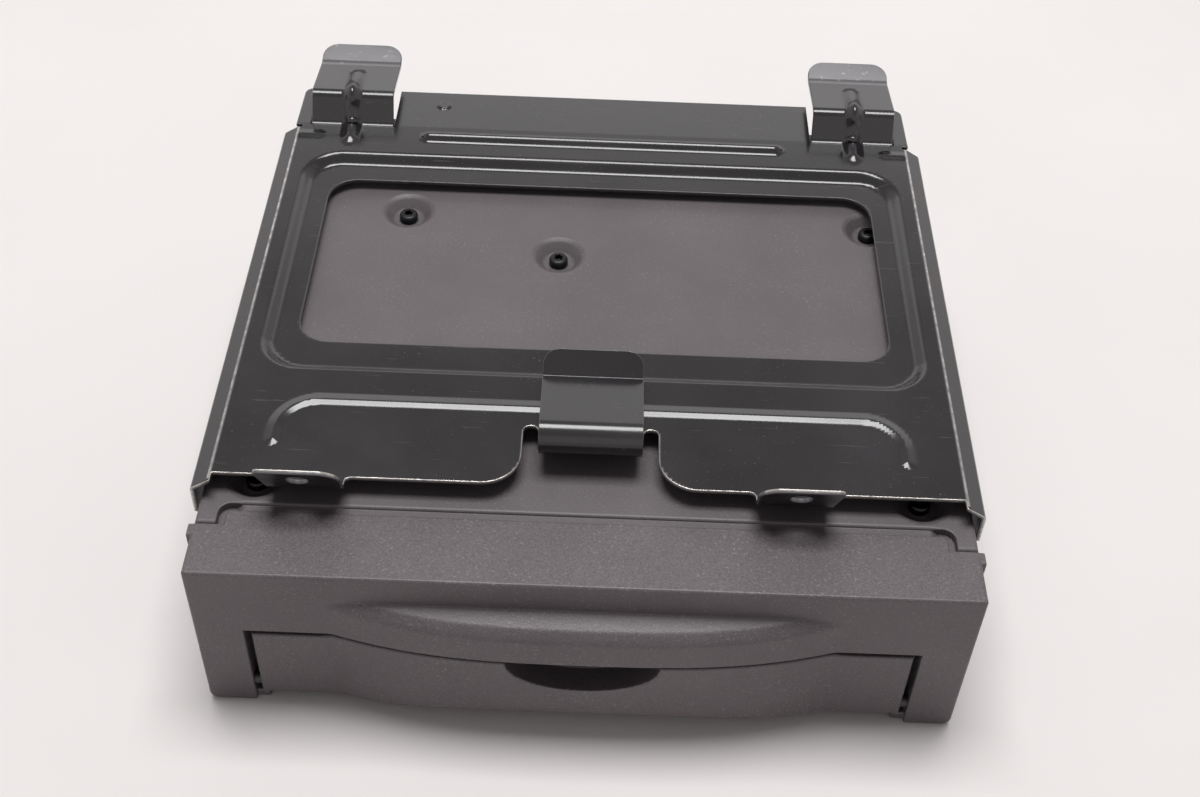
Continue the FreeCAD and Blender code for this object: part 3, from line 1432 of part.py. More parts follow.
def makeLoadMotor():
    right = Vector(1, 0, 0)
    x1 = mechHalfWidth - mechSheet
    can = cylinder(loadMotorRadius, loadMotorLength, x1 - loadMotorLength, pinionDepth, rollerZ, right)
    nose = cylinder(motorNoseRadius, mechSheet + motorNoseLength, x1, pinionDepth, rollerZ, right)
    back = cylinder(motorNoseRadius, 1.0, x1 - loadMotorLength - 1, pinionDepth, rollerZ, right)
    shaft = cylinder(motorShaftRadius, gearX + gearThick - x1, x1, pinionDepth, rollerZ, right)
    return can.fuse([nose, back, shaft]).removeSplitter()


def makeUpperDiscGuide():
    front = mechFront + mechSheet + clearance
    half = mechHalfWidth - mechSheet - clearance
    z0 = discZ + guideRise
    z1 = z0 + guideThick
    inner, outer = discRadius / 2, discRadius
    body = block(-half, half, front, front + guideDepth, z1, mechTopZ - mechSheet)
    body = body.cut(block(-outer, outer, front + 2, front + guideDepth - 2, z1 + 2.2, mechTopZ))
    ribs = []
    for s in (-1, 1):
        for i in range(guideRibCount):
            d = front + guideRibPitch * i + 1
            wedge = [at(s * inner, d, z1), at(s * outer, d, z0), at(s * outer, d, z1)]
            ribs.append(prism(wedge, Vector(0, guideThick, 0)))
    return body.fuse(ribs).removeSplitter()


def makePickupBase():
    y = Vector(0, 1, 0)
    low, high = baseTopZ - 3, baseTopZ + 1
    holderTop = rodZ + rodHolder
    body = roundedBlock(baseLeft, baseRight, baseFront, baseRear, baseTopZ - baseThick, baseTopZ, baseCorner)
    body = body.cut(block(-sledHalfWidth - 2.5, sledHalfWidth + 2.5, rodFront + 4, rodRear - rodHolder, low, high))
    motorRoom = sledMotorRadius + 0.8
    body = body.cut(block(screwX - motorRoom, baseRight + 1, rodFront - sledMotorLength - 2, rodFront + rodHolder,
                          low, high))
    for s in (-1, 1):
        for d0 in (rodFront, rodRear - rodHolder):
            body = body.fuse(block(s * rodX - rodHolder, s * rodX + rodHolder, d0, d0 + rodHolder,
                                   baseTopZ - 0.1, holderTop))
    body = body.fuse(block(screwX - rodHolder, screwX + rodHolder, rodRear - rodHolder - 1, rodRear - 1,
                           baseTopZ - 0.1, holderTop))
    for s in (-1, 1):
        body = body.cut(cylinder(rodRadius + seatFit / 2, rodLength + 2, s * rodX, rodFront - 1, rodZ, y))
    body = body.cut(cylinder(rodRadius + runningFit, 2 * rodHolder, screwX, rodRear - 5, rodZ, y))
    return body.removeSplitter()


def makeSpindleMotor():
    can = cylinder(spindleMotorRadius, spindleMotorHeight, 0, spindleDepth, baseTopZ)
    shaft = cylinder(spindleRadius, spindleRise, 0, spindleDepth, spindleMotorTopZ)
    return can.fuse(shaft).removeSplitter()


def makeTurntable():
    z0 = spindleMotorTopZ + clearance
    top = discZ - discThick / 2
    bore = spindleRadius + runningFit
    boreTop = spindleMotorTopZ + spindleRise + clearance
    outline = [(bore, z0), (turntableRadius - 1, z0), (turntableRadius, top - 1.4), (turntableRadius, top),
               (hubRadius, top), (hubRadius, top + discThick), (hubRadius - 1.6, hubTopZ), (0, hubTopZ),
               (0, boreTop), (bore, boreTop)]
    return revolved(outline, 0, spindleDepth, 0)


def makeGuideRods():
    return Part.makeCompound([cylinder(rodRadius, rodLength, s * rodX, rodFront, rodZ, Vector(0, 1, 0))
                              for s in (-1, 1)])


def makeLeadScrew():
    start = rodFront + screwStart
    return cylinder(rodRadius, rodRear - screwEnd - start, screwX, start, rodZ, Vector(0, 1, 0))


def makeSledMotor():
    y = Vector(0, 1, 0)
    can = cylinder(sledMotorRadius, sledMotorLength, screwX, rodFront - sledMotorLength, rodZ, y)
    nose = cylinder(2.0, 1.0, screwX, rodFront, rodZ, y)
    shaft = cylinder(0.7, 1.8, screwX, rodFront + 1.0, rodZ, y)
    foot = block(screwX - 4, screwX + 4, rodFront - sledMotorLength + 1, rodFront - 1,
                 mechFloorZ + mechSheet, rodZ - 3.5)
    return can.fuse([nose, shaft, foot]).removeSplitter()


def makePickupSled():
    rear = sledFront + sledLength
    y = Vector(0, 1, 0)
    body = block(-sledHalfWidth, sledHalfWidth, sledFront, rear, mechFloorZ + mechSheet + 1.2, sledTopZ - 1.6)
    deck = block(-deckHalfWidth, deckHalfWidth, sledFront, rear, sledTopZ - deckThick, sledTopZ)
    lugs = [sideBlock(s, sledHalfWidth - 1, rodX + rodHolder, sledFront + 2, rear - 2, baseTopZ + 0.4, rodZ + 2.4)
            for s in (-1, 1)]
    finger = block(rodX + 2, screwX - rodRadius - clearance, sledFront + 7, sledFront + 11, rodZ - 0.8, rodZ + 1.6)
    body = body.fuse([deck] + lugs + [finger])
    for s in (-1, 1):
        body = body.cut(cylinder(rodRadius + runningFit, sledLength + 2, s * rodX, sledFront - 1, rodZ, y))
    well = cylinder(lensSeatRadius + 0.4, deckThick, 0, sledFront + sledLength / 2, sledTopZ - deckThick / 2)
    return body.cut(well).removeSplitter()


def makePickupLens():
    d = sledFront + sledLength / 2
    seatZ = sledTopZ - deckThick / 2
    base = cylinder(lensSeatRadius, 0.8, 0, d, seatZ)
    ball = Part.makeSphere(lensDome, at(0, d, seatZ + 1.8 - lensDome))
    dome = ball.common(cylinder(lensRadius, 3, 0, d, seatZ + 0.7))
    return base.fuse(dome).removeSplitter()


def makeClampArm():
    w = clampArmHalfWidth
    low, high = clampZ - clampArmThick / 2, clampZ + clampArmThick / 2
    plate = block(-w, w, spindleDepth + 1, clampDepth + 3, low, high)
    nose = cylinder(w, clampArmThick, 0, spindleDepth + w - 7, low)
    eyes = [sideBlock(s, w - clampEyeWidth, w, clampDepth - clampEyeRadius, clampDepth + clampEyeRadius,
                      clampZ - clampEyeRadius, high) for s in (-1, 1)]
    body = plate.fuse([nose] + eyes)
    body = body.cut(cylinder(clampPinRadius + runningFit, 5 * w, -2.5 * w, clampDepth, clampZ, Vector(1, 0, 0)))
    middle = block(1 - w, w - 1, clampDepth - 1.5, clampDepth + 4, clampZ - 1, clampZ + 1)
    ribs = [block(s * 7 - 1, s * 7 + 1, spindleDepth + 16, clampDepth - 6, high - 0.1, high + 0.8) for s in (-1, 1)]
    puckHole = cylinder(puckPinRadius + clearance, 4, 0, spindleDepth, clampZ - 2)
    return body.cut(middle).fuse(ribs).cut(puckHole).removeSplitter()


def makeClampPin():
    reach = clampLugX + clampLugThick
    return cylinder(clampPinRadius, 2 * reach, -reach, clampDepth, clampZ, Vector(1, 0, 0))


def makeClampPuck():
    z0 = puckBottomZ
    z1 = clampZ - clampArmThick / 2 - 0.2
    top = clampZ + clampArmThick / 2 + 0.2
    outline = [(hubRadius + 0.8, z0), (puckRadius, z0), (puckRadius, z0 + 1.4), (puckRadius - 2, z1),
               (puckPinRadius, z1), (puckPinRadius, top), (puckPinRadius + 1.6, top),
               (puckPinRadius + 1.2, top + 0.8),
               (0, top + 0.8), (0, z0 + 2.0), (hubRadius - 0.6, z0 + 2.0)]
    return revolved(outline, 0, spindleDepth, 0)


makers = {
    "fascia": makeFascia,
    "flap": makeFlap,
    "upper_housing": makeUpperHousing,
    "lower_housing": makeLowerHousing,
    "housing_screws": makeHousingScrews,
    "bracket_screws": makeBracketScrews,
    "mounting_bracket": makeBracket,
    "bracket_ears": makeEars,
    "centre_clip": makeClip,
    "rear_hooks": makeHooks,
    "slot_panel": makeSlotPanel,
    "slot_felts": makeSlotFelts,
    "eject_button": makeEjectButton,
    "switch_board": makeSwitchBoard,
    "shield_plate": makeShieldPlate,
    "main_board": makeMainBoard,
    "board_standoffs": makeBoardStandoffs,
    "board_parts": makeBoardParts,
    "rear_connector": makeRearConnector,
    "connector_pins": makeConnectorPins,
    "antenna_socket": makeAntennaSocket,
    "ribbon_cable": makeRibbonCable,
    "mech_chassis": makeMechChassis,
    "mech_cover": makeMechCover,
    "rubber_dampers": makeDampers,
    "damper_screws": makeDamperScrews,
    "load_roller_shaft": makeRollerShaft,
    "roller_sleeves": makeRollerSleeves,
    "roller_bushes": makeRollerBushes,
    "roller_gear": makeRollerGear,
    "idler_gear": makeIdlerGear,
    "idler_pin": makeIdlerPin,
    "motor_pinion": makeMotorPinion,
    "load_motor": makeLoadMotor,
    "upper_disc_guide": makeUpperDiscGuide,
    "pickup_base": makePickupBase,
    "spindle_motor": makeSpindleMotor,
    "turntable": makeTurntable,
    "guide_rods": makeGuideRods,
    "lead_screw": makeLeadScrew,
    "sled_motor": makeSledMotor,
    "pickup_sled": makePickupSled,
    "pickup_lens": makePickupLens,
    "clamp_arm": makeClampArm,
    "clamp_pin": makeClampPin,
    "clamp_puck": makeClampPuck,
}


def main():
    os.makedirs("parts", exist_ok=True)
    for name, maker in makers.items():
        shape = maker()
        solids = len(shape.Solids)
        print(name, "solids", solids, "volume %.1f" % shape.Volume, "valid", shape.isValid())
        shape.exportStep(os.path.join("parts", name + ".step"))


main()
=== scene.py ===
import json
import math

import bpy
import numpy as np
from mathutils import Matrix


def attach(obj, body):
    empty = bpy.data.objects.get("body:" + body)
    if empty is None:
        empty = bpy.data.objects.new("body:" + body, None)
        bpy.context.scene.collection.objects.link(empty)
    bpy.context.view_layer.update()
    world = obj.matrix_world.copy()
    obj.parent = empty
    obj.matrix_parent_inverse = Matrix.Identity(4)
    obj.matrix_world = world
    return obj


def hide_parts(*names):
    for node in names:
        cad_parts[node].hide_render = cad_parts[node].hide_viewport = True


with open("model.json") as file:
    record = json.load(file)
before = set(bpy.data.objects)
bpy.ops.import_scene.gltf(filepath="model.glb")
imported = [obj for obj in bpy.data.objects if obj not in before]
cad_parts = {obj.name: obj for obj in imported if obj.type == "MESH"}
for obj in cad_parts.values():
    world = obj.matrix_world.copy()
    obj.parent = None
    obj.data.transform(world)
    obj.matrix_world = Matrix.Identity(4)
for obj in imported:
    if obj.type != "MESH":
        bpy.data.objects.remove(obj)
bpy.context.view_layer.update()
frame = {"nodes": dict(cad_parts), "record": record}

# Places are written in millimetres: x to the right, d the depth behind the flat front face, z up.
# place() turns them into the frame's metres.
frontY = -102.4238


def place(x, d, z):
    return np.stack([x, frontY + d, z], axis=-1) * 0.001


def faceStarts(totals):
    # where each face starts in the list of corners
    return np.concatenate([[0], np.cumsum(totals)[:-1]])


def addObject(name, data):
    made = bpy.data.objects.new(name, data)
    bpy.context.scene.collection.objects.link(made)
    return made


def makeMesh(name, points, loops, totals, normals=None):
    # fills a mesh from whole arrays: points, corner indices and each face's number of corners
    mesh = bpy.data.meshes.new(name)
    mesh.vertices.add(len(points))
    mesh.vertices.foreach_set("co", points.astype(np.float32).ravel())
    mesh.loops.add(len(loops))
    mesh.loops.foreach_set("vertex_index", loops.astype(np.int32))
    mesh.polygons.add(len(totals))
    mesh.polygons.foreach_set("loop_start", faceStarts(totals).astype(np.int32))
    mesh.polygons.foreach_set("loop_total", totals.astype(np.int32))
    mesh.polygons.foreach_set("use_smooth", np.full(len(totals), True))
    mesh.update(calc_edges=True)
    mesh.validate()
    if normals is not None and len(mesh.vertices) == len(normals):
        mesh.normals_split_custom_set_from_vertices(normals.tolist())
    return addObject(name, mesh)


def quadMesh(name, points, quads, normals=None):
    quads = np.asarray(quads)
    return makeMesh(name, points, quads.ravel(), np.full(len(quads), 4), normals)


def markPoints(piece, name, values):
    # a value on each point, which the material reads
    mark = piece.data.attributes.new(name, "FLOAT", "POINT")
    mark.data.foreach_set("value", values.astype(np.float32))


def gridLines(start, end, coarse, spots, fine):
    # unevenly spaced lines: fine steps near each spot (place, half width, its own step where it has one)
    # that grow to coarse steps away from them
    probeStep, growth = 0.02, 0.35
    probe = np.arange(start, end + 1e-9, probeStep)
    step = np.full(len(probe), float(coarse))
    for spot in spots:
        middle, reach = spot[:2]
        size = spot[2] if len(spot) > 2 else fine
        away = np.maximum(np.abs(probe - middle) - reach, 0)
        step = np.minimum(step, size + away * growth)
    amount = np.concatenate([[0], np.cumsum(probeStep / step[1:])])
    count = max(int(math.ceil(amount[-1])), 2)
    return np.interp(np.linspace(0, amount[-1], count + 1), amount, probe)


def bothSides(*spots):
    # the same spots to the left and to the right of the middle
    return [(s * spot[0], *spot[1:]) for s in (-1, 1) for spot in spots]


def smoothMax(a, b, r):
    # rounded meeting of two distances: a quarter circle of radius r where both are near zero
    return np.minimum(np.maximum(a, b), -r) + np.hypot(np.maximum(a + r, 0), np.maximum(b + r, 0))


def smoothMin(a, b, r):
    return -smoothMax(-a, -b, r)


def overlap(first, *others):
    # what lies in all of them: the largest of the distances
    for other in others:
        first = np.maximum(first, other)
    return first


def slab(value, low, high):
    return np.maximum(low - value, value - high)


def roundedRect(x, y, x0, x1, y0, y1, r):
    # distance to a rectangle with round corners, negative inside
    qx = np.abs(x - (x0 + x1) / 2) - (x1 - x0) / 2 + r
    qy = np.abs(y - (y0 + y1) / 2) - (y1 - y0) / 2 + r
    return np.hypot(np.maximum(qx, 0), np.maximum(qy, 0)) + np.minimum(np.maximum(qx, qy), 0) - r


def centredRect(x, y, half, y0, y1, r):
    return roundedRect(x, y, -half, half, y0, y1, r)


def capsule(x, y, x0, y0, x1, y1):
    # distance to a straight stretch
    px, py, bx, by = x - x0, y - y0, x1 - x0, y1 - y0
    t = np.clip((px * bx + py * by) / (bx * bx + by * by), 0, 1)
    return np.hypot(px - t * bx, py - t * by)


def softStep(t):
    t = np.clip(t, 0, 1)
    return t * t * (3 - 2 * t)


def slopes(field, h, *at):
    # central differences of a function along each of its coordinates, in a last axis of their own
    found = []
    for i in range(len(at)):
        ahead, behind = ([*at[:i], at[i] + s * h, *at[i + 1:]] for s in (1, -1))
        found.append((field(*ahead) - field(*behind)) / (2 * h))
    return np.stack(found, axis=-1)


def growSolid(name, field, *lines):
    # skin of a solid given by a function that is negative inside: one point in each grid cell that the
    # surface crosses, at the mean of the crossings on the cell's edges, moved along the function's
    # gradient onto the surface, and one quad round each crossed grid edge. The lines are what gridLines
    # takes for x, d and z
    axes = [gridLines(*line) for line in lines]
    X, D, Z = np.meshgrid(*axes, indexing="ij")
    F = field(X, D, Z)
    inside = F < 0
    first, second = slice(None, -1), slice(1, None)
    halves = [(i, j, k) for i in (first, second) for j in (first, second) for k in (first, second)]
    corners = np.stack([inside[half] for half in halves])
    cells = np.argwhere(corners.any(0) & ~corners.all(0))
    number = np.full(corners.shape[1:], -1)
    number[tuple(cells.T)] = np.arange(len(cells))
    total = np.zeros((len(cells), 3))
    hits = np.zeros(len(cells))
    for axis in range(3):
        others = [a for a in range(3) if a != axis]
        for p in (0, 1):
            for q in (0, 1):
                a = cells.copy()
                a[:, others] += (p, q)
                b = a.copy()
                b[:, axis] += 1
                fa, fb = F[tuple(a.T)], F[tuple(b.T)]
                cross = (fa < 0) != (fb < 0)
                t = np.where(cross, fa / np.where(fa == fb, 1, fa - fb), 0)
                for k in range(3):
                    pa, pb = axes[k][a[:, k]], axes[k][b[:, k]]
                    total[:, k] += np.where(cross, pa + t * (pb - pa), 0)
                hits += cross
    P = total / hits[:, None]
    size = np.stack([np.diff(line)[c] for line, c in zip(axes, cells.T)], axis=-1)
    low = np.stack([line[c] for line, c in zip(axes, cells.T)], axis=-1)
    for _ in range(5):
        g = slopes(field, 0.02, *P.T)
        step = (field(*P.T) / np.maximum((g ** 2).sum(-1), 0.2))[:, None] * g
        P = P - np.clip(step, -0.5 * size, 0.5 * size)
        P = np.clip(P, low - 0.05 * size, low + 1.05 * size)
    g = slopes(field, 0.02, *P.T)
    normals = g / np.maximum(np.linalg.norm(g, axis=1), 1e-9)[:, None]
    quads = []
    for axis in range(3):
        others = [(axis + 1) % 3, (axis + 2) % 3]
        edges = np.argwhere(np.diff(inside, axis=axis))
        across = edges[:, others]
        edges = edges[((across > 0) & (across < np.array(F.shape)[others] - 1)).all(1)]
        solidFirst = inside[tuple(edges.T)]
        ring = []
        for shift in ((-1, -1), (0, -1), (0, 0), (-1, 0)):
            c = edges.copy()
            c[:, others] += shift
            ring.append(number[tuple(c.T)])
        ring = np.stack(ring, axis=-1)
        quads.append(np.where(solidFirst[:, None], ring, ring[:, ::-1]))
    quads = np.concatenate(quads)
    piece = quadMesh(name, place(*P.T), quads, normals)
    print(name, "points", len(P), "faces", len(quads))
    return piece


def linear(code):
    # sRGB hex to linear colour
    values = [int(code[i:i + 2], 16) / 255 for i in (1, 3, 5)]
    return [v / 12.92 if v <= 0.04045 else ((v + 0.055) / 1.055) ** 2.4 for v in values] + [1.0]


def newMaterial(name):
    material = bpy.data.materials.new(name)
    material.use_nodes = True
    tree = material.node_tree
    tree.nodes.clear()
    return material, tree, (tree.nodes.new("ShaderNodeTexCoord"), "Object")


def node(tree, kind, settings=None, **links):
    # adds a node; a value goes to the socket of that name (or number, as in Value1 or in6), and a
    # (node, output) pair is linked to it
    made = tree.nodes.new(kind)
    for key, value in (settings or {}).items():
        setattr(made, key, value)
    for key, value in links.items():
        label = key.replace("_", " ")
        numbered = label[-1].isdigit() and label[:-1] in ("Value", "in")
        socket = made.inputs[int(label[-1])] if numbered else made.inputs[label]
        if isinstance(value, tuple) and hasattr(value[0], "outputs"):
            tree.links.new(value[0].outputs[value[1]], socket)
        else:
            socket.default_value = value
    return made


def ramp(tree, source, *stops):
    made = node(tree, "ShaderNodeValToRGB", Fac=source)
    elements = made.color_ramp.elements
    while len(elements) > 1:
        elements.remove(elements[-1])
    for i, (position, color) in enumerate(stops):
        item = elements[0] if i == 0 else elements.new(position)
        item.position = position
        item.color = color if isinstance(color, (list, tuple)) else (color, color, color, 1)
    return made, "Color"


def noise(tree, spot, scale, detail, **more):
    return node(tree, "ShaderNodeTexNoise", Vector=spot, Scale=scale, Detail=detail, **more), "Fac"


def combine(tree, operation, *values):
    sockets = {f"Value{i}": value for i, value in enumerate(values)}
    return node(tree, "ShaderNodeMath", {"operation": operation}, **sockets), "Value"


def blend(tree, share, first, second):
    return node(tree, "ShaderNodeMix", {"data_type": "RGBA"}, in0=share, in6=first, in7=second), 2


def pointMark(tree, name):
    return node(tree, "ShaderNodeAttribute", {"attribute_name": name}), "Fac"


def dustSpecks(tree, spot, specks, patches, share):
    # fine specks that lie denser in patches; both are a noise's scale and detail, then the ramp's stops
    grains, areas = (ramp(tree, noise(tree, spot, *row[:2]), *row[2:]) for row in (specks, patches))
    return combine(tree, "MULTIPLY", combine(tree, "MULTIPLY", grains, areas), share)


def finishSurface(tree, height, strength, depthMm, **inputs):
    bump = node(tree, "ShaderNodeBump", Height=height, Strength=strength, Distance=depthMm * 0.001)
    shader = node(tree, "ShaderNodeBsdfPrincipled", Normal=(bump, "Normal"), **inputs)
    node(tree, "ShaderNodeOutputMaterial", Surface=(shader, "BSDF"))


# moulded ABS with a fine spark-eroded grain: dark warm grey with a broad soft gloss that breaks up in
# fine bright grains, thin cloudy wear and pale specks of dust. The real grain is about 0.1 mm; it is
# drawn at 0.4 mm, because a finer one wouldn't show
# pocket is a painted shade colour, mixed in where the flap's point mark is set
grainedAbs = {"body": "#585154", "worn": "#635c5f", "speck": "#a19a9b", "grainColor": 0.2, "roughness": 0.4,
              "grainMm": 0.42, "grainDepthMm": 0.12, "speckShare": 0.4, "pocket": "#322e31"}
# the housing's ABS is a little smoother and lighter
housingAbs = {"body": "#595356", "worn": "#635d60", "speck": "#959091", "grainColor": 0.12, "roughness": 0.46,
              "grainMm": 0.4, "grainDepthMm": 0.05, "speckShare": 0.26, "pocket": "#322e31"}


def plastic(name, look):
    material, tree, spot = newMaterial(name)
    grain = noise(tree, spot, 1000 / look["grainMm"], 2.0, Roughness=0.6)
    cloud = noise(tree, spot, 28.0, 4.0, Roughness=0.55)
    base = ramp(tree, cloud, (0.35, linear(look["body"])), (0.75, linear(look["worn"])))
    pits = ramp(tree, grain, (0.3, 1 - 1.6 * look["grainColor"]), (0.7, 1 + look["grainColor"]))
    pitted = node(tree, "ShaderNodeVectorMath", {"operation": "MULTIPLY"}, in0=base, in1=pits)
    dust = dustSpecks(tree, spot, (1300.0, 1.0, (0.62, 0.0), (0.72, 1.0)), (60.0, 3.0, (0.4, 0.3), (0.7, 1.0)),
                      look["speckShare"])
    dusty = blend(tree, dust, (pitted, "Vector"), linear(look["speck"]))
    # painted shade: the point mark turns the colour to the dark pocket tone in the fingertip pocket and on the hinge
    # stubs
    color = blend(tree, pointMark(tree, "deep"), dusty, linear(look["pocket"]))
    rough = ramp(tree, grain, (0.3, look["roughness"] - 0.07), (0.7, look["roughness"] + 0.08))
    finishSurface(tree, grain, 0.6, look["grainDepthMm"], Base_Color=color, Roughness=rough, IOR=1.5)
    return material


# electrophoretic black coat on pressed steel: near black and satin, with a slight orange peel, dust and
# hair scratches, scuffed grey where things slide and rubbed through to bare steel along the cut edges.
# The grey and the bare steel also paint in light: a painted highlight along the cut edges and bends, and painted sheen
# on the clip's arm and the hooks' tips
blackCoat = {"coat": "#181619", "thin": "#232124", "dust": "#7d7974", "bare": "#c9c5be", "scuffAndSheen": "#78757a",
             "roughness": 0.17, "bareShare": 0.75}


def coatedSteel(name, look):
    material, tree, spot = newMaterial(name)
    cloud = noise(tree, spot, 24.0, 5.0, Roughness=0.6)
    peel = noise(tree, spot, 900.0, 1.0)
    chips = noise(tree, spot, 420.0, 4.0, Roughness=0.7)
    worn = pointMark(tree, "worn")
    base = ramp(tree, cloud, (0.35, linear(look["coat"])), (0.7, linear(look["thin"])))
    dust = dustSpecks(tree, spot, (1100.0, 2.0, (0.66, 0.0), (0.74, 1.0)), (35.0, 3.0, (0.45, 0.12), (0.75, 0.9)), 0.5)
    turned = node(tree, "ShaderNodeMapping", Vector=spot, Rotation=(0.0, 0.0, 0.9), Scale=(1.0, 22.0, 1.0))
    hair = noise(tree, (turned, "Vector"), 60.0, 2.0, Distortion=0.3)
    scratches = combine(tree, "MULTIPLY", ramp(tree, hair, (0.71, 0.0), (0.74, 1.0)), 0.2)
    dusty = blend(tree, combine(tree, "MAXIMUM", dust, scratches), base, linear(look["dust"]))
    # the wear reaches further in where the chips' noise is high
    # painted highlight: the worn mark, partly real wear and partly painted highlight, turns the rims and bends grey and
    # metallic
    rubbedAndHighlit = combine(tree, "MULTIPLY_ADD", chips, 0.55, worn)
    bare = ramp(tree, rubbedAndHighlit, (0.6, 0.0), (0.72, look["bareShare"]))
    matte = blend(tree, combine(tree, "MULTIPLY", worn, 2.0), dusty, linear(look["scuffAndSheen"]))
    color = blend(tree, bare, matte, linear(look["bare"]))
    rough = ramp(tree, cloud, (0.3, look["roughness"] - 0.04), (0.75, look["roughness"] + 0.07))
    finishSurface(tree, peel, 0.25, 0.02, Base_Color=color, Metallic=bare, Roughness=rough, IOR=1.57)
    return material


# the other finishes by slot: name, two colours, metallic, roughness, grain size in mm and its depth in mm
finishes = {
    "black_plastic": ("blackPlastic", "#1d1d1f", "#252527", 0.0, 0.42, 0.5, 0.02),  # matt black moulding
    "chip_plastic": ("chipPlastic", "#202022", "#2b2b2d", 0.0, 0.5, 0.4, 0.01),  # dull dark epoxy
    "gear_plastic": ("acetal", "#e4e0d2", "#d8d3c3", 0.0, 0.38, 1.5, 0.01),  # waxy cream
    "white_plastic": ("paleNylon", "#dcd8cc", "#cfcabc", 0.0, 0.45, 1.5, 0.01),  # dull off-white
    "board_green": ("solderMask", "#1c5a35", "#15482a", 0.0, 0.33, 3.0, 0.005),  # green lacquer, smooth
    "felt": ("feltPile", "#161617", "#2a2a2b", 0.0, 0.95, 0.25, 0.15),  # no gloss at all
    "damper_rubber": ("mouldedRubber", "#1b1b1b", "#252525", 0.0, 0.7, 0.6, 0.02),  # soft matt black
    "zinc_steel": ("zincSheet", "#b6b8ba", "#9da0a3", 1.0, 0.34, 6.0, 0.004),  # bluish grey in broad flakes
    "bright_steel": ("groundSteel", "#c4c4c3", "#a9a9a9", 1.0, 0.25, 0.8, 0.004),  # bright, tight gloss
    "tin_pins": ("tinPlate", "#cfcdc6", "#bab7ae", 1.0, 0.3, 0.8, 0.004),  # warm pale metal
    "brass_gear": ("turnedBrass", "#c9a452", "#ad8a3e", 1.0, 0.28, 0.8, 0.004),  # yellow metal
    "black_screw": ("blackOxide", "#2a2a2c", "#38383a", 1.0, 0.38, 0.5, 0.01),  # blackened, satin
}


def simpleFinish(name, first, second, metallic, roughness, grainMm, depthMm):
    material, tree, spot = newMaterial(name)
    grain = noise(tree, spot, 1000 / grainMm, 3.0)
    base = ramp(tree, noise(tree, spot, 70.0, 4.0), (0.35, linear(first)), (0.7, linear(second)))
    rough = ramp(tree, grain, (0.3, roughness - 0.05), (0.7, roughness + 0.08))
    finishSurface(tree, grain, 0.5, depthMm, Base_Color=base, Metallic=metallic, Roughness=rough)
    return material


def glassFinish(name):
    # moulded optical glass with a faint blue coating: clear, sharp gloss, dust in a thin haze
    material, tree, spot = newMaterial(name)
    haze = noise(tree, spot, 1500.0, 2.0)
    finishSurface(tree, haze, 0.1, 0.002, Base_Color=linear("#dfe8f2"), IOR=1.52, Transmission_Weight=1.0,
                  Roughness=ramp(tree, haze, (0.5, 0.02), (0.8, 0.12)))
    return material


fasciaPlastic = plastic("grainedAbs", grainedAbs)
housingPlastic = plastic("housingAbs", housingAbs)
coat = coatedSteel("blackCoat", blackCoat)
slotFinish = {slot: simpleFinish(*row) for slot, row in finishes.items()}
slotFinish.update(dark_plastic=housingPlastic, black_coat=coat, lens_glass=glassFinish("lensGlass"))
nodeSlot = {row["node"]: row["material_slot"] for row in frame["record"]["subparts"]}
for name, piece in frame["nodes"].items():
    for item in piece.material_slots:
        item.material = slotFinish[nodeSlot[name]]
print("materials ready")


def dress(piece, material, body, slotName, *replaced):
    piece.data.materials.append(material)
    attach(piece, body)
    if replaced:
        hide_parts(*replaced)
    return piece


front = {
    "halfWidth": 100.0, "height": 54.0, "depth": 16.3, "edge": 0.8, "wall": 2.4, "bottomCorner": 2.5,
    "squareFrom": 12.0, "mouthHalfWidth": 87.3, "mouthTop": 30.9, "lipHalfWidth": 65.0, "lipEnd": 63.5,
    "lipReach": 7.2, "lipPower": 2.8, "ledgeZ": 44.4, "ledgeCosine": 0.949, "rimZ": 42.0, "lipRoll": 2.7,
    "tongueHalfWidth": 92.2, "tongueStart": 4.0, "tongueEnd": 21.0, "tongueThick": 1.8, "tongueCorner": 1.3,
    "lugFront": 12.3, "lugBottom": 49.4, "lugReach": 1.2, "cheekDepth": 9.3, "shadeWallInner": 85.7,
    "shadeWallDepths": (5.2, 9.2), "footInner": 83.6, "footDepths": (1.2, 6.2), "footHeights": (0.4, 3.1),
}
# the flap's stubs turn in blind bores of the legs
hinge = {"depth": 2.2, "z": 7.5, "stub": 1.6, "bore": 1.68, "stubEnd": 89.5, "boreEnd": 93.5}


def bulge(x):
    # plan curve of the bulge: reach times one less a power of the distance from the middle
    return front["lipReach"] * (1 - (np.abs(x) / front["lipHalfWidth"]) ** front["lipPower"])


def bulgeSlope(x):
    power = front["lipPower"]
    return np.hypot(1, front["lipReach"] * power * np.abs(x) ** (power - 1) / front["lipHalfWidth"] ** power)


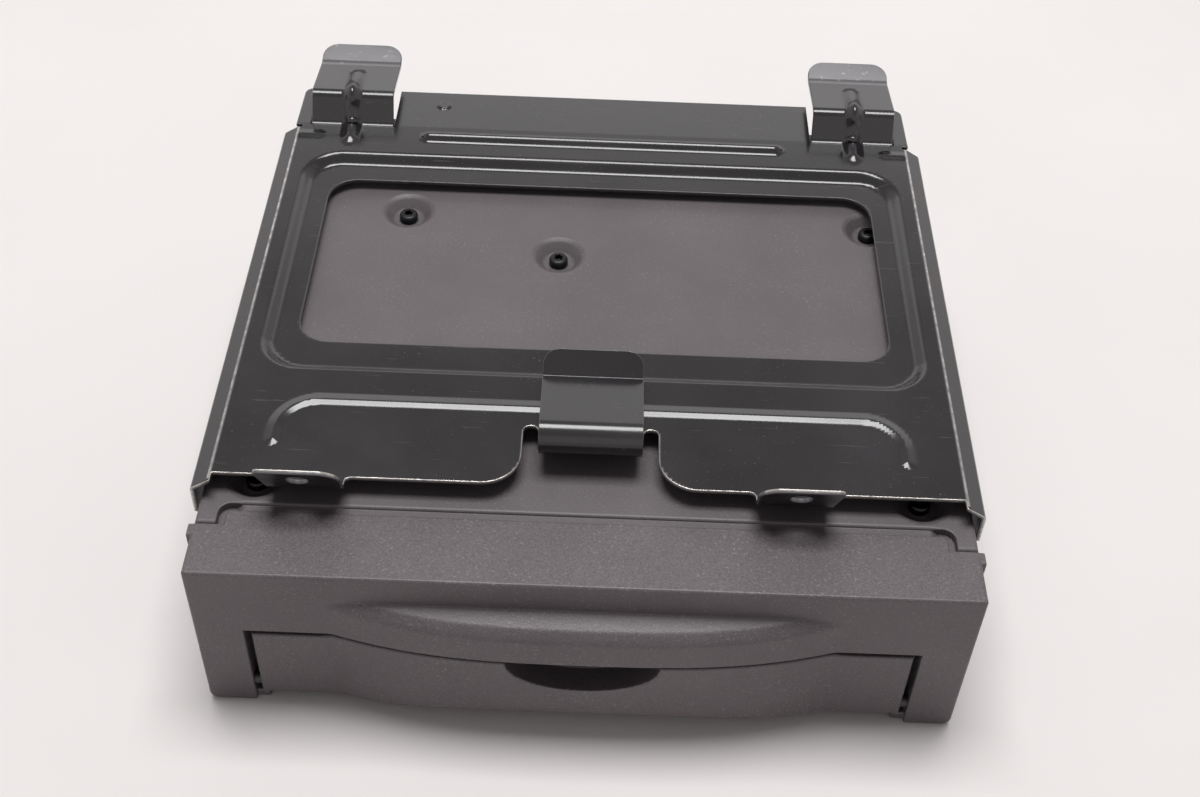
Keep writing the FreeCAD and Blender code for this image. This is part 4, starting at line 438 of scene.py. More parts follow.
def fasciaField(x, d, z):
    f = front
    across = np.abs(x)
    sides = across - f["halfWidth"]
    outline = centredRect(x, z, f["halfWidth"], 0, f["height"], f["bottomCorner"])
    outline = np.where(z > f["squareFrom"], smoothMax(sides, z - f["height"], f["edge"]), outline)
    box = smoothMax(outline, -d, f["edge"])
    box = smoothMax(box, d - f["depth"], 0.3)
    # the lip: between the bulge curve, the sloping ledge and the mouth's top
    face = (-bulge(x) - d) / bulgeSlope(x)
    ledge = (z - f["ledgeZ"] - d * (f["ledgeZ"] - f["rimZ"]) / f["lipReach"]) * f["ledgeCosine"]
    lip = smoothMax(smoothMax(face, ledge, f["lipRoll"]), f["mouthTop"] - z, 0.45)
    lip = np.maximum(lip, d - 1.0)
    body = smoothMin(box, lip, 0.35)
    # the tongue over the housing, and a lug on each side
    tongue = centredRect(x, d, f["tongueHalfWidth"], f["tongueStart"], f["tongueEnd"], f["tongueCorner"])
    tongue = smoothMax(tongue, slab(z, f["height"] - f["tongueThick"], f["height"]), 0.35)
    body = smoothMin(body, tongue, 0.05)
    lug = roundedRect(d, z, f["lugFront"], f["depth"], f["lugBottom"], f["height"] - 0.1, 0.5)
    lug = smoothMax(lug, sides - f["lugReach"], 0.4)
    body = smoothMin(body, np.maximum(lug, -1 - sides), 0.1)
    # the mouth and the hollow behind the face, with a cheek beside the mouth
    mouth = np.maximum(across - f["mouthHalfWidth"], z - f["mouthTop"])
    body = smoothMax(body, -mouth, 0.45)
    cheek = f["mouthHalfWidth"] + f["wall"]
    cheekSolid = overlap(across - cheek, d - f["cheekDepth"], z - f["mouthTop"] - f["wall"])
    inner = overlap(sides + f["wall"], slab(z, f["wall"], f["height"] - f["wall"]), f["wall"] - d, -cheekSolid)
    body = np.maximum(body, -inner)
    # a dark wall behind the gap at the flap's side, put in as shade for that gap, and a small foot inside each leg,
    # under its corner
    shadeWall = overlap(slab(across, f["shadeWallInner"], cheek), slab(d, *f["shadeWallDepths"]),
                   slab(z, f["footHeights"][0], f["mouthTop"] + 1))
    body = np.minimum(body, shadeWall)
    foot = roundedRect(across, d, f["footInner"], f["mouthHalfWidth"] + 1, *f["footDepths"], 0.8)
    body = smoothMin(body, smoothMax(foot, slab(z, *f["footHeights"]), 0.5), 0.3)
    bore = np.hypot(d - hinge["depth"], z - hinge["z"]) - hinge["bore"]
    return np.maximum(body, -np.maximum(bore, across - hinge["boreEnd"]))


def growFascia():
    f = front
    xs = bothSides((f["halfWidth"], 1.2), (f["mouthHalfWidth"], 1.2), (f["tongueHalfWidth"], 1.6),
                   (f["lipEnd"], 2.0, 0.6))
    ds = [(0.2, 1.2), (-6.2, 2.0, 0.4), (f["depth"], 0.6), (f["tongueEnd"], 0.6)]
    zs = [(0, 0.8), (f["mouthTop"], 0.9), (f["rimZ"], 2.4, 0.35), (f["ledgeZ"], 0.6), (f["height"], 1.0),
          (f["height"] - f["tongueThick"], 0.5)]
    return growSolid("fascia_moulding", fasciaField, (-102.5, 102.5, 2.6, xs, 0.25), (-8.6, 22.4, 1.2, ds, 0.22),
                     (-1.0, 55.0, 1.8, zs, 0.22))


dress(growFascia(), fasciaPlastic, "housing", "dark_plastic", "fascia")

flapLook = {
    "halfWidth": 85.4, "bottom": 4.3, "top": 30.4, "wall": 2.0, "roll": 8.0, "sideDrop": 0.8, "dropFrom": 60.0,
    "dropRun": 8.0, "recessHalf": 19.8, "recessDrop": 10.4, "recessFloor": 0.4, "recessWall": 1.4,
    "earWidth": 3.0, "earDepths": (0.5, 4.8), "earTop": 11.1,
}


def flapField(x, d, z):
    f = flapLook
    across = np.abs(x)
    reach = front["lipReach"]
    top = f["top"] - f["sideDrop"] * softStep((across - f["dropFrom"]) / f["dropRun"])
    plate = smoothMax(np.maximum(across - f["halfWidth"], slab(z, f["bottom"], top)), -d, 0.6)

    def bulged(offset):
        # the bulge with its rolled lower edge, set in by the offset
        face = (-bulge(x) + offset - d) / bulgeSlope(x)
        r = f["roll"] - offset
        cd, cz = -reach + f["roll"], f["bottom"] + f["roll"]
        roll = np.where((z < cz) & (d < cd), np.hypot(d - cd, z - cz) - r, np.maximum(-reach + offset - d, cz - r - z))
        return smoothMax(face, roll, 0.6)

    outer = smoothMax(smoothMax(bulged(0), z - top, 0.6), d - f["wall"], 0.2)
    body = smoothMin(np.maximum(plate, d - f["wall"]), outer, 0.35)
    body = np.maximum(body, -np.maximum(bulged(f["wall"]), z - f["top"] + f["wall"]))
    # pocket for a fingertip, a half oval with a wall of its own behind the flap's
    floor = f["recessFloor"]

    def oval(grow):
        a, b = f["recessHalf"] + grow, f["recessDrop"] + grow
        return (np.hypot(x / a, (z - f["top"]) / b) - 1) * b

    jacket = overlap(oval(f["recessWall"]), d - floor - f["recessWall"], bulged(0.5), z - f["top"])
    body = np.minimum(body, jacket)
    body = smoothMax(body, -smoothMax(oval(0), d - floor, 0.6), 0.25)
    # an ear at each lower corner carries a hinge stub
    ear = overlap(slab(across, f["halfWidth"] - f["earWidth"], f["halfWidth"]), slab(d, *f["earDepths"]),
                  slab(z, f["bottom"], f["earTop"]))
    stub = np.hypot(d - hinge["depth"], z - hinge["z"]) - hinge["stub"]
    stub = np.maximum(stub, slab(across, f["halfWidth"] - 1, hinge["stubEnd"]))
    return np.minimum(np.minimum(body, ear), stub)


def growFlap():
    f = flapLook
    xs = bothSides((f["halfWidth"], 1.0), (front["lipEnd"], 2.0, 0.6)) + [(0, 20.5, 0.8)]
    ds = [(-6.5, 1.0, 0.35), (0.2, 1.0), (f["wall"], 0.4), (f["earDepths"][1], 0.4)]
    zs = [(f["top"], 0.8), (f["bottom"], 1.0), (22, 3.0, 0.5)]
    return growSolid("flap_moulding", flapField, (-90.2, 90.2, 2.2, xs, 0.25), (-8.2, 5.6, 1.0, ds, 0.25),
                     (3.4, 31.2, 1.0, zs, 0.22))


flap = growFlap()


def paintPocketAndStubShade():
    # painted shade: the fingertip pocket is painted darker inside, and the hinge stubs are painted near black, as shade
    # in the gap beside the flap
    P = np.empty(len(flap.data.vertices) * 3, dtype=np.float32)
    flap.data.vertices.foreach_get("co", P)
    x, y, z = P.reshape(-1, 3).T * 1000
    d = y - frontY
    k = np.hypot(x / flapLook["recessHalf"], (z - flapLook["top"]) / flapLook["recessDrop"])
    pocket = softStep((1.03 - k) / 0.06) * softStep((d + bulge(x) - 0.3) / 0.8) * 0.75
    stub = (np.abs(x) > flapLook["halfWidth"] + 0.1) * 1.0
    markPoints(flap, "deep", np.maximum(pocket, stub))


paintPocketAndStubShade()
dress(flap, fasciaPlastic, "flap", "dark_plastic", "flap")
print("front ready")

shell = {
    "halfWidth": 99.8, "front": 16.6, "rear": 192.0, "split": 24.0, "gap": 0.3, "top": 54.0, "wall": 2.2,
    "topThick": 5.8, "frontCorner": 0.4, "corner": 3.0, "topEdge": 1.0, "bottomEdge": 1.5, "post": 5.0,
    "bore": 1.6, "stepHalf": 94.4, "stepRear": 23.4, "stepCorner": 3.3, "stepDrop": 0.9, "grooveFrom": 88.2,
    "grooveRun": 2.4, "grooveDrop": 2.2, "seatGap": 0.15, "dimpleRadius": 7.6, "floorRadius": 4.6,
    "dimpleDepth": 3.4, "dimples": [(-59.0, 144.0), (83.2, 143.2), (86.8, 33.1), (-86.8, 33.1), (-11.8, 125.7)],
    "mouthRear": 21.3, "mouthHeights": (3.9, 48.0), "plug": (-47.4, -0.6, 23.6, 39.4), "socket": (46.0, 33.0),
    "socketRadius": 5.4, "ventStart": 70.0, "ventPitch": 4.0, "ventHeights": (30.0, 42.0),
    "ventSpan": (69.5, 88.5), "slotSpan": 60.0, "slotPitch": 20.0, "slotDepths": (150.0, 153.0),
}


def shellPlan(x, d, inset, rearCorner):
    # distance to the housing's outline from above, square at the front and rounded at the rear
    f = shell
    corner = np.where(d < 100, f["frontCorner"], rearCorner)
    return centredRect(x, d, f["halfWidth"] - inset, f["front"] + inset, f["rear"] - inset, corner)


def hollowRoom(x, d, z, cover):
    # the inside of one half as far as its cover wall, less the four screw posts and their bores
    f = shell
    posts = np.full(np.shape(x * d * z), 99.0)
    for cx, cd in f["dimples"][:4]:
        r = np.hypot(x - cx, d - cd)
        posts = np.minimum(posts, np.maximum(r - f["post"], f["bore"] - r))
    return overlap(shellPlan(x, d, f["wall"], 1.0), cover, -posts)


def mouthRoom(x, d, z):
    return overlap(np.abs(x) - front["mouthHalfWidth"], slab(z, *shell["mouthHeights"]), d - shell["mouthRear"])


def shellField(x, d, z):
    # the upper half: top and walls, screw dimples, the seat of the tongue and the openings at the rear
    f = shell
    body = smoothMax(shellPlan(x, d, 0, f["corner"]), z - f["top"], f["topEdge"])
    body = smoothMax(body, f["split"] + f["gap"] - z, 0.3)
    slope = f["dimpleDepth"] / (f["dimpleRadius"] - f["floorRadius"])
    for cx, cd in f["dimples"]:
        r = np.hypot(x - cx, d - cd)
        wall = (f["top"] - z - (f["dimpleRadius"] - r) * slope) / math.hypot(1, slope)
        hollow = smoothMax(r - f["dimpleRadius"] - 0.4, smoothMax(wall, f["top"] - f["dimpleDepth"] - z, 0.6), 0.4)
        body = smoothMax(body, -hollow, 1.0)
    body = np.maximum(body, -hollowRoom(x, d, z, z - f["top"] + f["topThick"]))
    # the step round the tongue, shallow behind it and deep at its sides
    step = centredRect(x, d, f["stepHalf"], front["tongueStart"], f["stepRear"], f["stepCorner"])
    side = softStep((np.abs(x) - f["grooveFrom"]) / f["grooveRun"])
    drop = f["stepDrop"] + (f["grooveDrop"] - f["stepDrop"]) * side
    body = smoothMax(body, -np.maximum(step, f["top"] - drop - z), 0.75 - 0.45 * side)
    seat = centredRect(x, d, front["tongueHalfWidth"] + f["seatGap"], front["tongueStart"],
                       front["tongueEnd"] + f["seatGap"], front["tongueCorner"])
    body = smoothMax(body, -np.maximum(seat, f["top"] - f["grooveDrop"] - z), 0.2)
    body = np.maximum(body, -mouthRoom(x, d, z))
    rear = f["rear"] - f["wall"] - 1.5 - d
    plug = roundedRect(x, z, *f["plug"], 0.4)
    socket = np.hypot(x - f["socket"][0], z - f["socket"][1]) - f["socketRadius"]
    vents = roundedRect(np.mod(x - f["ventStart"] + 1.0, f["ventPitch"]), z, 1.0, 3.0, *f["ventHeights"], 0.9)
    vents = np.maximum(vents, slab(x, *f["ventSpan"]))
    holes = np.minimum(np.minimum(plug, socket), vents)
    return smoothMax(body, -np.maximum(holes, rear), 0.25)


def tubField(x, d, z):
    # the lower half: floor and walls with rounded lower edges, and cooling slots
    f = shell
    body = smoothMax(shellPlan(x, d, 0, f["corner"]), -z, f["bottomEdge"])
    body = smoothMax(body, z - f["split"], 0.3)
    body = overlap(body, -hollowRoom(x, d, z, f["wall"] - z), -mouthRoom(x, d, z))
    slots = roundedRect(np.mod(x + f["slotSpan"], f["slotPitch"]), d, 4.0, 16.0, *f["slotDepths"], 1.0)
    return smoothMax(body, -overlap(slots, np.abs(x) - f["slotSpan"], z - 4.0), 0.3)


def growShells():
    f = shell
    xs = bothSides((f["halfWidth"], 1.4), (93.3, 1.6)) + [(cx, 9.0, 0.7) for cx, cd in f["dimples"]]
    xs += [(f["plug"][0], 0.6), (f["plug"][1], 0.6), (f["socket"][0], 6.0, 0.6), (79.0, 10.0, 0.5)]
    ds = [(f["front"], 0.8), (22.2, 1.6), (f["rear"], 1.6), (190.0, 0.6)] + [(cd, 9.0, 0.7) for cx, cd in f["dimples"]]
    zs = [(f["top"], 1.4), (52.4, 1.0), (f["split"] + f["gap"], 0.6), (50.6, 0.8, 0.4), (39.4, 0.6, 0.4)]
    upper = growSolid("top_shell", shellField, (-100.8, 100.8, 5.0, xs, 0.3), (15.8, 193.0, 5.0, ds, 0.3),
                      (23.6, 55.0, 3.0, zs, 0.3))
    xs = bothSides((f["halfWidth"], 1.6), (front["mouthHalfWidth"], 5.0, 0.7)) + [(-59.0, 5.6, 0.7)]
    xs += [(f["slotPitch"] * i, 8.0, 1.0) for i in range(-3, 4)]
    ds = [(f["front"], 0.8), (f["mouthRear"], 0.6), (33.1, 5.6, 0.7), (143.6, 6.0, 0.7), (151.5, 2.2, 0.5),
          (f["rear"], 1.8)]
    zs = [(0.4, 1.4), (f["wall"], 0.6), (f["split"], 0.5)]
    lower = growSolid("bottom_shell", tubField, (-100.8, 100.8, 5.0, xs, 0.3), (15.8, 193.0, 5.0, ds, 0.3),
                      (-0.8, 24.8, 3.0, zs, 0.3))
    return upper, lower


upper, lower = growShells()
dress(upper, housingPlastic, "housing", "dark_plastic", "upper_housing")
dress(lower, housingPlastic, "housing", "dark_plastic", "lower_housing")

# pan head screws with a six-lobed pocket: head radius and height, pocket radius, lobe and depth
torx = {"head": 2.8, "rise": 2.55, "crown": 0.95, "pocketEdge": 1.75, "pocket": 1.22, "lobe": 0.2, "lobes": 6,
        "pocketDepth": 1.5, "shank": 1.15, "sunk": 7.0, "seat": 50.6, "sides": 72}


def torxScrews(centres):
    # turned profile in rows of radius, height and share of the lobed curve, closed by a point at each end
    t = torx
    top, c, n = t["rise"], t["crown"], t["sides"]
    profile = [(t["shank"], -t["sunk"], 0), (t["shank"], 0, 0), (t["head"] - 0.15, 0, 0), (t["head"], 0.15, 0)]
    bend = np.linspace(0, math.pi / 2, 7)
    profile += [(t["head"] - c * (1 - math.cos(a)), top - c + c * math.sin(a), 0) for a in bend]
    profile += [(t["pocketEdge"], top + 0.02, 0), (t["pocket"], top, 1), (t["pocket"] - 0.02, top - 0.12, 1),
                (t["pocket"] - 0.03, top - t["pocketDepth"], 1),
                (t["pocket"] - 0.25, top - t["pocketDepth"] - 0.15, 1)]
    radius, height, lobed = np.array(profile, float).T
    turn = np.linspace(0, 2 * math.pi, n + 1)[:-1]
    ringR = radius[:, None] + lobed[:, None] * t["lobe"] * np.cos(t["lobes"] * turn)[None, :]
    x, d = ringR * np.cos(turn), ringR * np.sin(turn)
    z = np.repeat(height[:, None], n, axis=1)
    one = np.concatenate([np.stack([x, d, z], -1).reshape(-1, 3), [[0, 0, -t["sunk"]], [0, 0, height[-1]]]])
    rows = len(radius)
    i, j = np.meshgrid(np.arange(rows - 1), np.arange(n), indexing="ij")
    a, b = i * n + j, i * n + (j + 1) % n
    quads = np.stack([a, b, b + n, a + n], -1).reshape(-1, 4)
    k = np.arange(n)
    base = np.stack([np.full(n, rows * n), (k + 1) % n, k], -1)
    last = (rows - 1) * n
    crown = np.stack([np.full(n, rows * n + 1), last + k, last + (k + 1) % n], -1)
    loops = np.concatenate([quads.ravel(), base.ravel(), crown.ravel()])
    totals = np.concatenate([np.full(len(quads), 4), np.full(2 * n, 3)])
    points, allLoops = [], []
    for number, (cx, cd) in enumerate(centres):
        a = 0.4 + 1.3 * number
        spun = one @ np.array([[math.cos(a), math.sin(a), 0], [-math.sin(a), math.cos(a), 0], [0, 0, 1]])
        points.append(spun + [cx, cd, t["seat"]])
        allLoops.append(loops + number * len(one))
    points = np.concatenate(points)
    piece = makeMesh("torx_screws", place(*points.T), np.concatenate(allLoops), np.tile(totals, len(centres)))
    piece.data.set_sharp_from_angle(angle=math.radians(38))
    return piece


dress(torxScrews(shell["dimples"]), slotFinish["black_screw"], "housing", "black_screw", "housing_screws")
print("shell ready")

sheet = 1.2
pressing = {
    "topZ": 60.0, "plateHalf": 97.5, "flangeHalf": 102.3, "slopeDrop": 3.0, "flangeBottom": 47.6,
    "flangeFront": 25.3, "flangeRear": 177.6, "plateFront": 28.3, "plateRear": 200.0, "tailHalf": 98.4,
    "tailBend": 179.4, "tailDrop": 1.0, "rim": 0.22,
    "rimHalf": 93.3, "rimFront": 66.9, "rimRear": 165.2, "rimCorner": 13.0, "rimDrop": 2.6, "rimSlope": 4.3,
    "windowHalf": 83.7, "windowFront": 80.9, "windowRear": 154.2, "windowCorner": 9.0,
    "beadSpan": 83.1, "beadFoot": 40.5, "beadDepth": 55.5, "beadCorner": 11.0,
    "recessRadius": 10.3, "notchOuter": 17.9, "notchInner": 13.9, "notchRear": 48.9,
    "clipHalf": 13.6, "clipArmEnd": 61.8, "clipTip": 8.0, "clipCorner": 4.5,
    "hookInner": 67.3, "hookOuter": 93.4, "hookFoot": 179.7, "hookCorner": 5.2,
    "earInner": {-1: 62.6, 1: 42.8}, "earRoot": 19.4, "earTip": 21.6, "earLean": 25.0, "earFront": 24.8,
    "earLength": 12.4, "earHole": 2.9, "earHoleFromTip": 5.3, "earBase": 27.0,
    "sideStart": 90.0, "tailStart": 170.0, "clipStart": 60.0, "earStart": 40.0,
    "hookPath": [(183.9, 69.1), (205.0, 66.0), (212.05, 68.57)], "hookCut": 178.6,
    "clipRadius": 3.8, "clipCentre": (42.3, 63.8), "clipArmSlope": (2.9, 19.5), "clipElbowZ": 64.75,
    "slit": (96.2, 177.3, 178.5), "ribHalf": 55.0, "ribDepth": 174.0, "cornerRib": (90.2, 96.0, 173.4),
    "gussetAcross": 80.35, "gussetDepths": (172.5, 201.0), "boss": (-52.1, 192.2),
}


def runLengths(P):
    return np.concatenate([[0], np.cumsum(np.hypot(*np.diff(P, axis=0).T))])


def bentPath(points, radii):
    # straight runs joined by arcs, sampled by length: returns lengths, both coordinates and the heading
    points = [np.array(p, float) for p in points]
    headings = [math.atan2(*(b - a)[::-1]) for a, b in zip(points[:-1], points[1:])]

    def leftOf(a):
        return np.array([-math.sin(a), math.cos(a)])

    samples = [(*points[0], headings[0])]
    for i, r in enumerate(radii):
        heading = headings[i]
        turn = (headings[i + 1] - heading + math.pi) % (2 * math.pi) - math.pi
        start = points[i + 1] - abs(r * math.tan(turn / 2)) * np.array([math.cos(heading), math.sin(heading)])
        side = 1 if turn > 0 else -1
        centre = start + r * side * leftOf(heading)
        samples += [(*(centre - r * side * leftOf(a)), a) for a in heading + np.linspace(0, 1, 25) * turn]
        headings[i + 1] = heading + turn
    samples.append((*points[-1], headings[-1]))
    P = np.array(samples)
    return runLengths(P[:, :2]), *P.T


def along(path, s):
    S, a, b, heading = path
    u, v, h = np.interp(s, S, a), np.interp(s, S, b), np.interp(s, S, heading)
    over = np.maximum(s - S[-1], 0)
    return u + over * math.cos(heading[-1]), v + over * math.sin(heading[-1]), h


def sheetPaths():
    # side views of the bends, followed along the sheet's upper face; the first coordinate of clip and
    # ear is counted towards the front
    p = pressing
    z = p["topZ"]
    side = bentPath([(p["sideStart"], z), (p["plateHalf"], z), (p["flangeHalf"], z - p["slopeDrop"]),
                     (p["flangeHalf"], p["flangeBottom"])], [1.4, 1.6])
    tail = bentPath([(p["tailStart"], z), (p["tailBend"], z), (p["plateRear"], z - p["tailDrop"])], [6.0])
    hook = bentPath([(p["tailStart"], z), (p["hookFoot"], z), *p["hookPath"]], [2.0, 3.3, 3.0])
    r, (cd, cz) = p["clipRadius"], p["clipCentre"]
    turn = np.linspace(0, math.pi + math.atan2(*p["clipArmSlope"]), 48)
    arc = np.stack([-cd + r * np.sin(turn), cz - r * np.cos(turn)], axis=-1)
    elbow = (-(p["clipArmEnd"] + 0.6), p["clipElbowZ"])
    tip = (elbow[0] - p["clipTip"] * math.sqrt(0.5), elbow[1] + p["clipTip"] * math.sqrt(0.5))
    arm = bentPath([arc[-1], elbow, tip], [1.6])
    P = np.concatenate([[(-p["clipStart"], z)], arc, np.stack([arm[1], arm[2]], axis=-1)[1:]])
    A = np.concatenate([[0.0], turn, arm[3][1:] + 2 * math.pi])
    clip = (runLengths(P), P[:, 0], P[:, 1], A)
    lean = math.radians(p["earLean"])
    tip = (p["earFront"] - math.sin(lean) * p["earLength"] + math.cos(lean) * sheet,
           z - sheet + math.cos(lean) * p["earLength"] + math.sin(lean) * sheet)
    root = tip[0] + math.sin(lean) * (tip[1] - z) / math.cos(lean)
    ear = bentPath([(-p["earStart"], z), (-root, z), (-tip[0], tip[1])], [1.0])
    return {"side": side, "tail": tail, "hook": hook, "clip": clip, "ear": ear}


paths = sheetPaths()
# where the flat sheet ends: at its sides, the hooks' tips, the clip's tip and the ears' tips
blank = {
    "half": pressing["sideStart"] + paths["side"][0][-1], "hookTip": pressing["tailStart"] + paths["hook"][0][-1],
    "clipTip": pressing["clipStart"] - paths["clip"][0][-1], "earTip": pressing["earStart"] - paths["ear"][0][-1],
}


def earShape(u, v):
    # both ears in the flat sheet: distance to their outline, and to their holes
    p = pressing
    shape, hole = np.full((2, *np.shape(u)), 99.0)
    for s in (-1, 1):
        w = s * u - p["earInner"][s]
        rise = np.clip((p["earBase"] - v) / (p["earBase"] - blank["earTip"]), 0, 1)
        outer = p["earRoot"] + (p["earTip"] - p["earRoot"]) * rise
        body = smoothMax(-w, blank["earTip"] - v, 6.0)
        body = smoothMax(body, w - outer, 1.6)
        body = np.maximum(body, v - 34)
        shape = np.minimum(shape, body)
        hole = np.minimum(hole, np.hypot(w - p["earTip"] / 2, v - blank["earTip"] - p["earHoleFromTip"]) - p["earHole"])
    return shape, hole


def sheetOutline(u, v):
    # distance to the edge of the flat sheet, negative in the metal
    p = pressing
    au = np.abs(u)
    sides = roundedRect(au, v, p["notchOuter"], 400, p["plateFront"], 400, p["recessRadius"])
    slot = roundedRect(au, v, p["notchInner"], p["notchOuter"], -90, p["notchRear"], 1.99)
    strip = smoothMax(au - p["clipHalf"], blank["clipTip"] - v, p["clipCorner"])
    strip = np.maximum(strip, v - 60)
    ears, holes = earShape(u, v)
    plate = np.minimum(sides, np.maximum(p["notchRear"] - 2 - v, -slot))
    plate = smoothMin(plate, ears, 1.6)
    flange = smoothMax(p["flangeFront"] - v, 96.8 - au, 0.5)
    plate = np.minimum(plate, flange)
    corner = roundedRect(au, v, -10, blank["half"], p["flangeFront"], p["flangeRear"], 2.0)
    plate = np.where(v < 60, np.maximum(plate, au - blank["half"]), corner)
    plate = np.where((v < 60) & (v > 26) & (au > 96), np.maximum(plate, corner), plate)
    plate = np.minimum(plate, strip)
    tail = centredRect(u, v, p["tailHalf"], 160, p["plateRear"], 3.0)
    tail = np.maximum(tail, -roundedRect(au, v, p["hookInner"] - 0.3, p["hookOuter"] + 0.6, p["hookCut"], 240, 0.2))
    hook = roundedRect(au, v, p["hookInner"], p["hookOuter"], 150, blank["hookTip"], p["hookCorner"])
    body = np.minimum(np.minimum(plate, tail), hook)
    # the slit between flange and tail
    across, slitFront, slitRear = p["slit"]
    body = np.maximum(body, -roundedRect(au, v, across, 120, slitFront, slitRear, 0.5))
    window = centredRect(u, v, p["windowHalf"], p["windowFront"], p["windowRear"], p["windowCorner"])
    body = np.maximum(body, -window)
    return np.maximum(body, -holes)


def domed(distance, half, height):
    # soft-sided bead: half a cosine wave over its width
    t = np.clip(distance / half, 0, 1)
    return height * 0.5 * (1 + np.cos(math.pi * t))


# side view of the arched bead, across it from the inside out: a steeper flank towards the front and a
# gentler one to the rear, rounded by a running mean
ridgeAcross = np.linspace(-4, 5, 901)
ridgeHeight = np.interp(ridgeAcross, [-1.9, 0.0, 2.6], [0.0, 0.72, 0.0])
ridgeHeight = np.convolve(ridgeHeight, np.full(45, 1 / 45), "same")


def sheetRelief(u, v):
    p = pressing
    au = np.abs(u)
    edge = -centredRect(au, v, p["rimHalf"], p["rimFront"], p["rimRear"], p["rimCorner"])
    relief = -p["rimDrop"] * softStep(edge / p["rimSlope"])
    arch = centredRect(au, v, p["beadSpan"], -200, p["beadDepth"], p["beadCorner"])
    foot = np.hypot(au - p["beadSpan"], v - p["beadFoot"])
    arch = np.where(v < p["beadFoot"], np.where(arch < 0, -foot, foot), arch)
    relief = relief + np.where((v > 30) & (v < 62), np.interp(arch, ridgeAcross, ridgeHeight), 0)
    rib = capsule(au, v, 0, p["ribDepth"], p["ribHalf"], p["ribDepth"])
    ribInner, ribOuter, depth = p["cornerRib"]
    corner = capsule(au, v, ribInner, depth, ribOuter, depth)
    relief = relief + domed(rib, 3.2, 1.7) + domed(corner, 2.4, 0.45)
    # each hook's gusset swells where the sheet bends
    gusset = np.hypot(au - p["gussetAcross"], np.maximum(slab(v, *p["gussetDepths"]), 0) * 0.8)
    swell = 0.9 + 1.1 * np.exp(-((v - 179.6) / 4.0) ** 2) + 0.9 * np.exp(-((v - 189.2) / 4.0) ** 2)
    relief = relief + domed(gusset, 3.5, 1.35) * swell
    boss = np.hypot(u - p["boss"][0], v - p["boss"][1])
    return relief + 0.55 * softStep((2.6 - boss) / 0.7)


# a hook rises between these two lines, which lie in the cuts beside it
hookEdges = (67.15, 93.7)


def sheetBase(u, v):
    # where the flat sheet's point lies once it is bent, and the normal of its upper face
    p = pressing
    au, s = np.abs(u), np.sign(u)
    X, D, Z = u.copy(), v.copy(), np.full(u.shape, p["topZ"])
    N = np.zeros(u.shape + (3,))
    N[..., 2] = 1

    def lengthwise(mask, path, length, towards):
        a, b, h = along(path, length[mask])
        D[mask], Z[mask] = towards * a, b
        N[mask] = np.stack([np.zeros_like(h), -towards * np.sin(h), np.cos(h)], axis=-1)

    behind = v > p["tailStart"]
    lengthwise(behind, paths["tail"], v - p["tailStart"], 1)
    lengthwise(behind & (au > hookEdges[0]) & (au < hookEdges[1]), paths["hook"], v - p["tailStart"], 1)
    lengthwise((v < p["notchRear"]) & (au < 15.5), paths["clip"], p["clipStart"] - v, -1)
    for side in (-1, 1):
        w = side * u - p["earInner"][side]
        lengthwise((v < p["plateFront"]) & (w > -1.5) & (w < 24), paths["ear"], p["earStart"] - v, -1)
    mask = (au > p["sideStart"]) & (v < 178.0) & (v > 20)
    a, b, h = along(paths["side"], au[mask] - p["sideStart"])
    X[mask], Z[mask] = s[mask] * a, b
    N[mask] = np.stack([-s[mask] * np.sin(h), np.zeros_like(h), np.cos(h)], axis=-1)
    return np.stack([X, D, Z], axis=-1), N


def formedSheet(u, v):
    P, N = sheetBase(u, v)
    return P + sheetRelief(u, v)[..., None] * N


def ontoOutline(outline, u, v, rounds):
    # moves points of the flat sheet along the slope of the distance onto its outline
    for _ in range(rounds):
        g = slopes(outline, 0.01, u, v)
        f = outline(u, v) / np.maximum((g ** 2).sum(-1), 0.3)
        u, v = u - f * g[:, 0], v - f * g[:, 1]
    return u, v


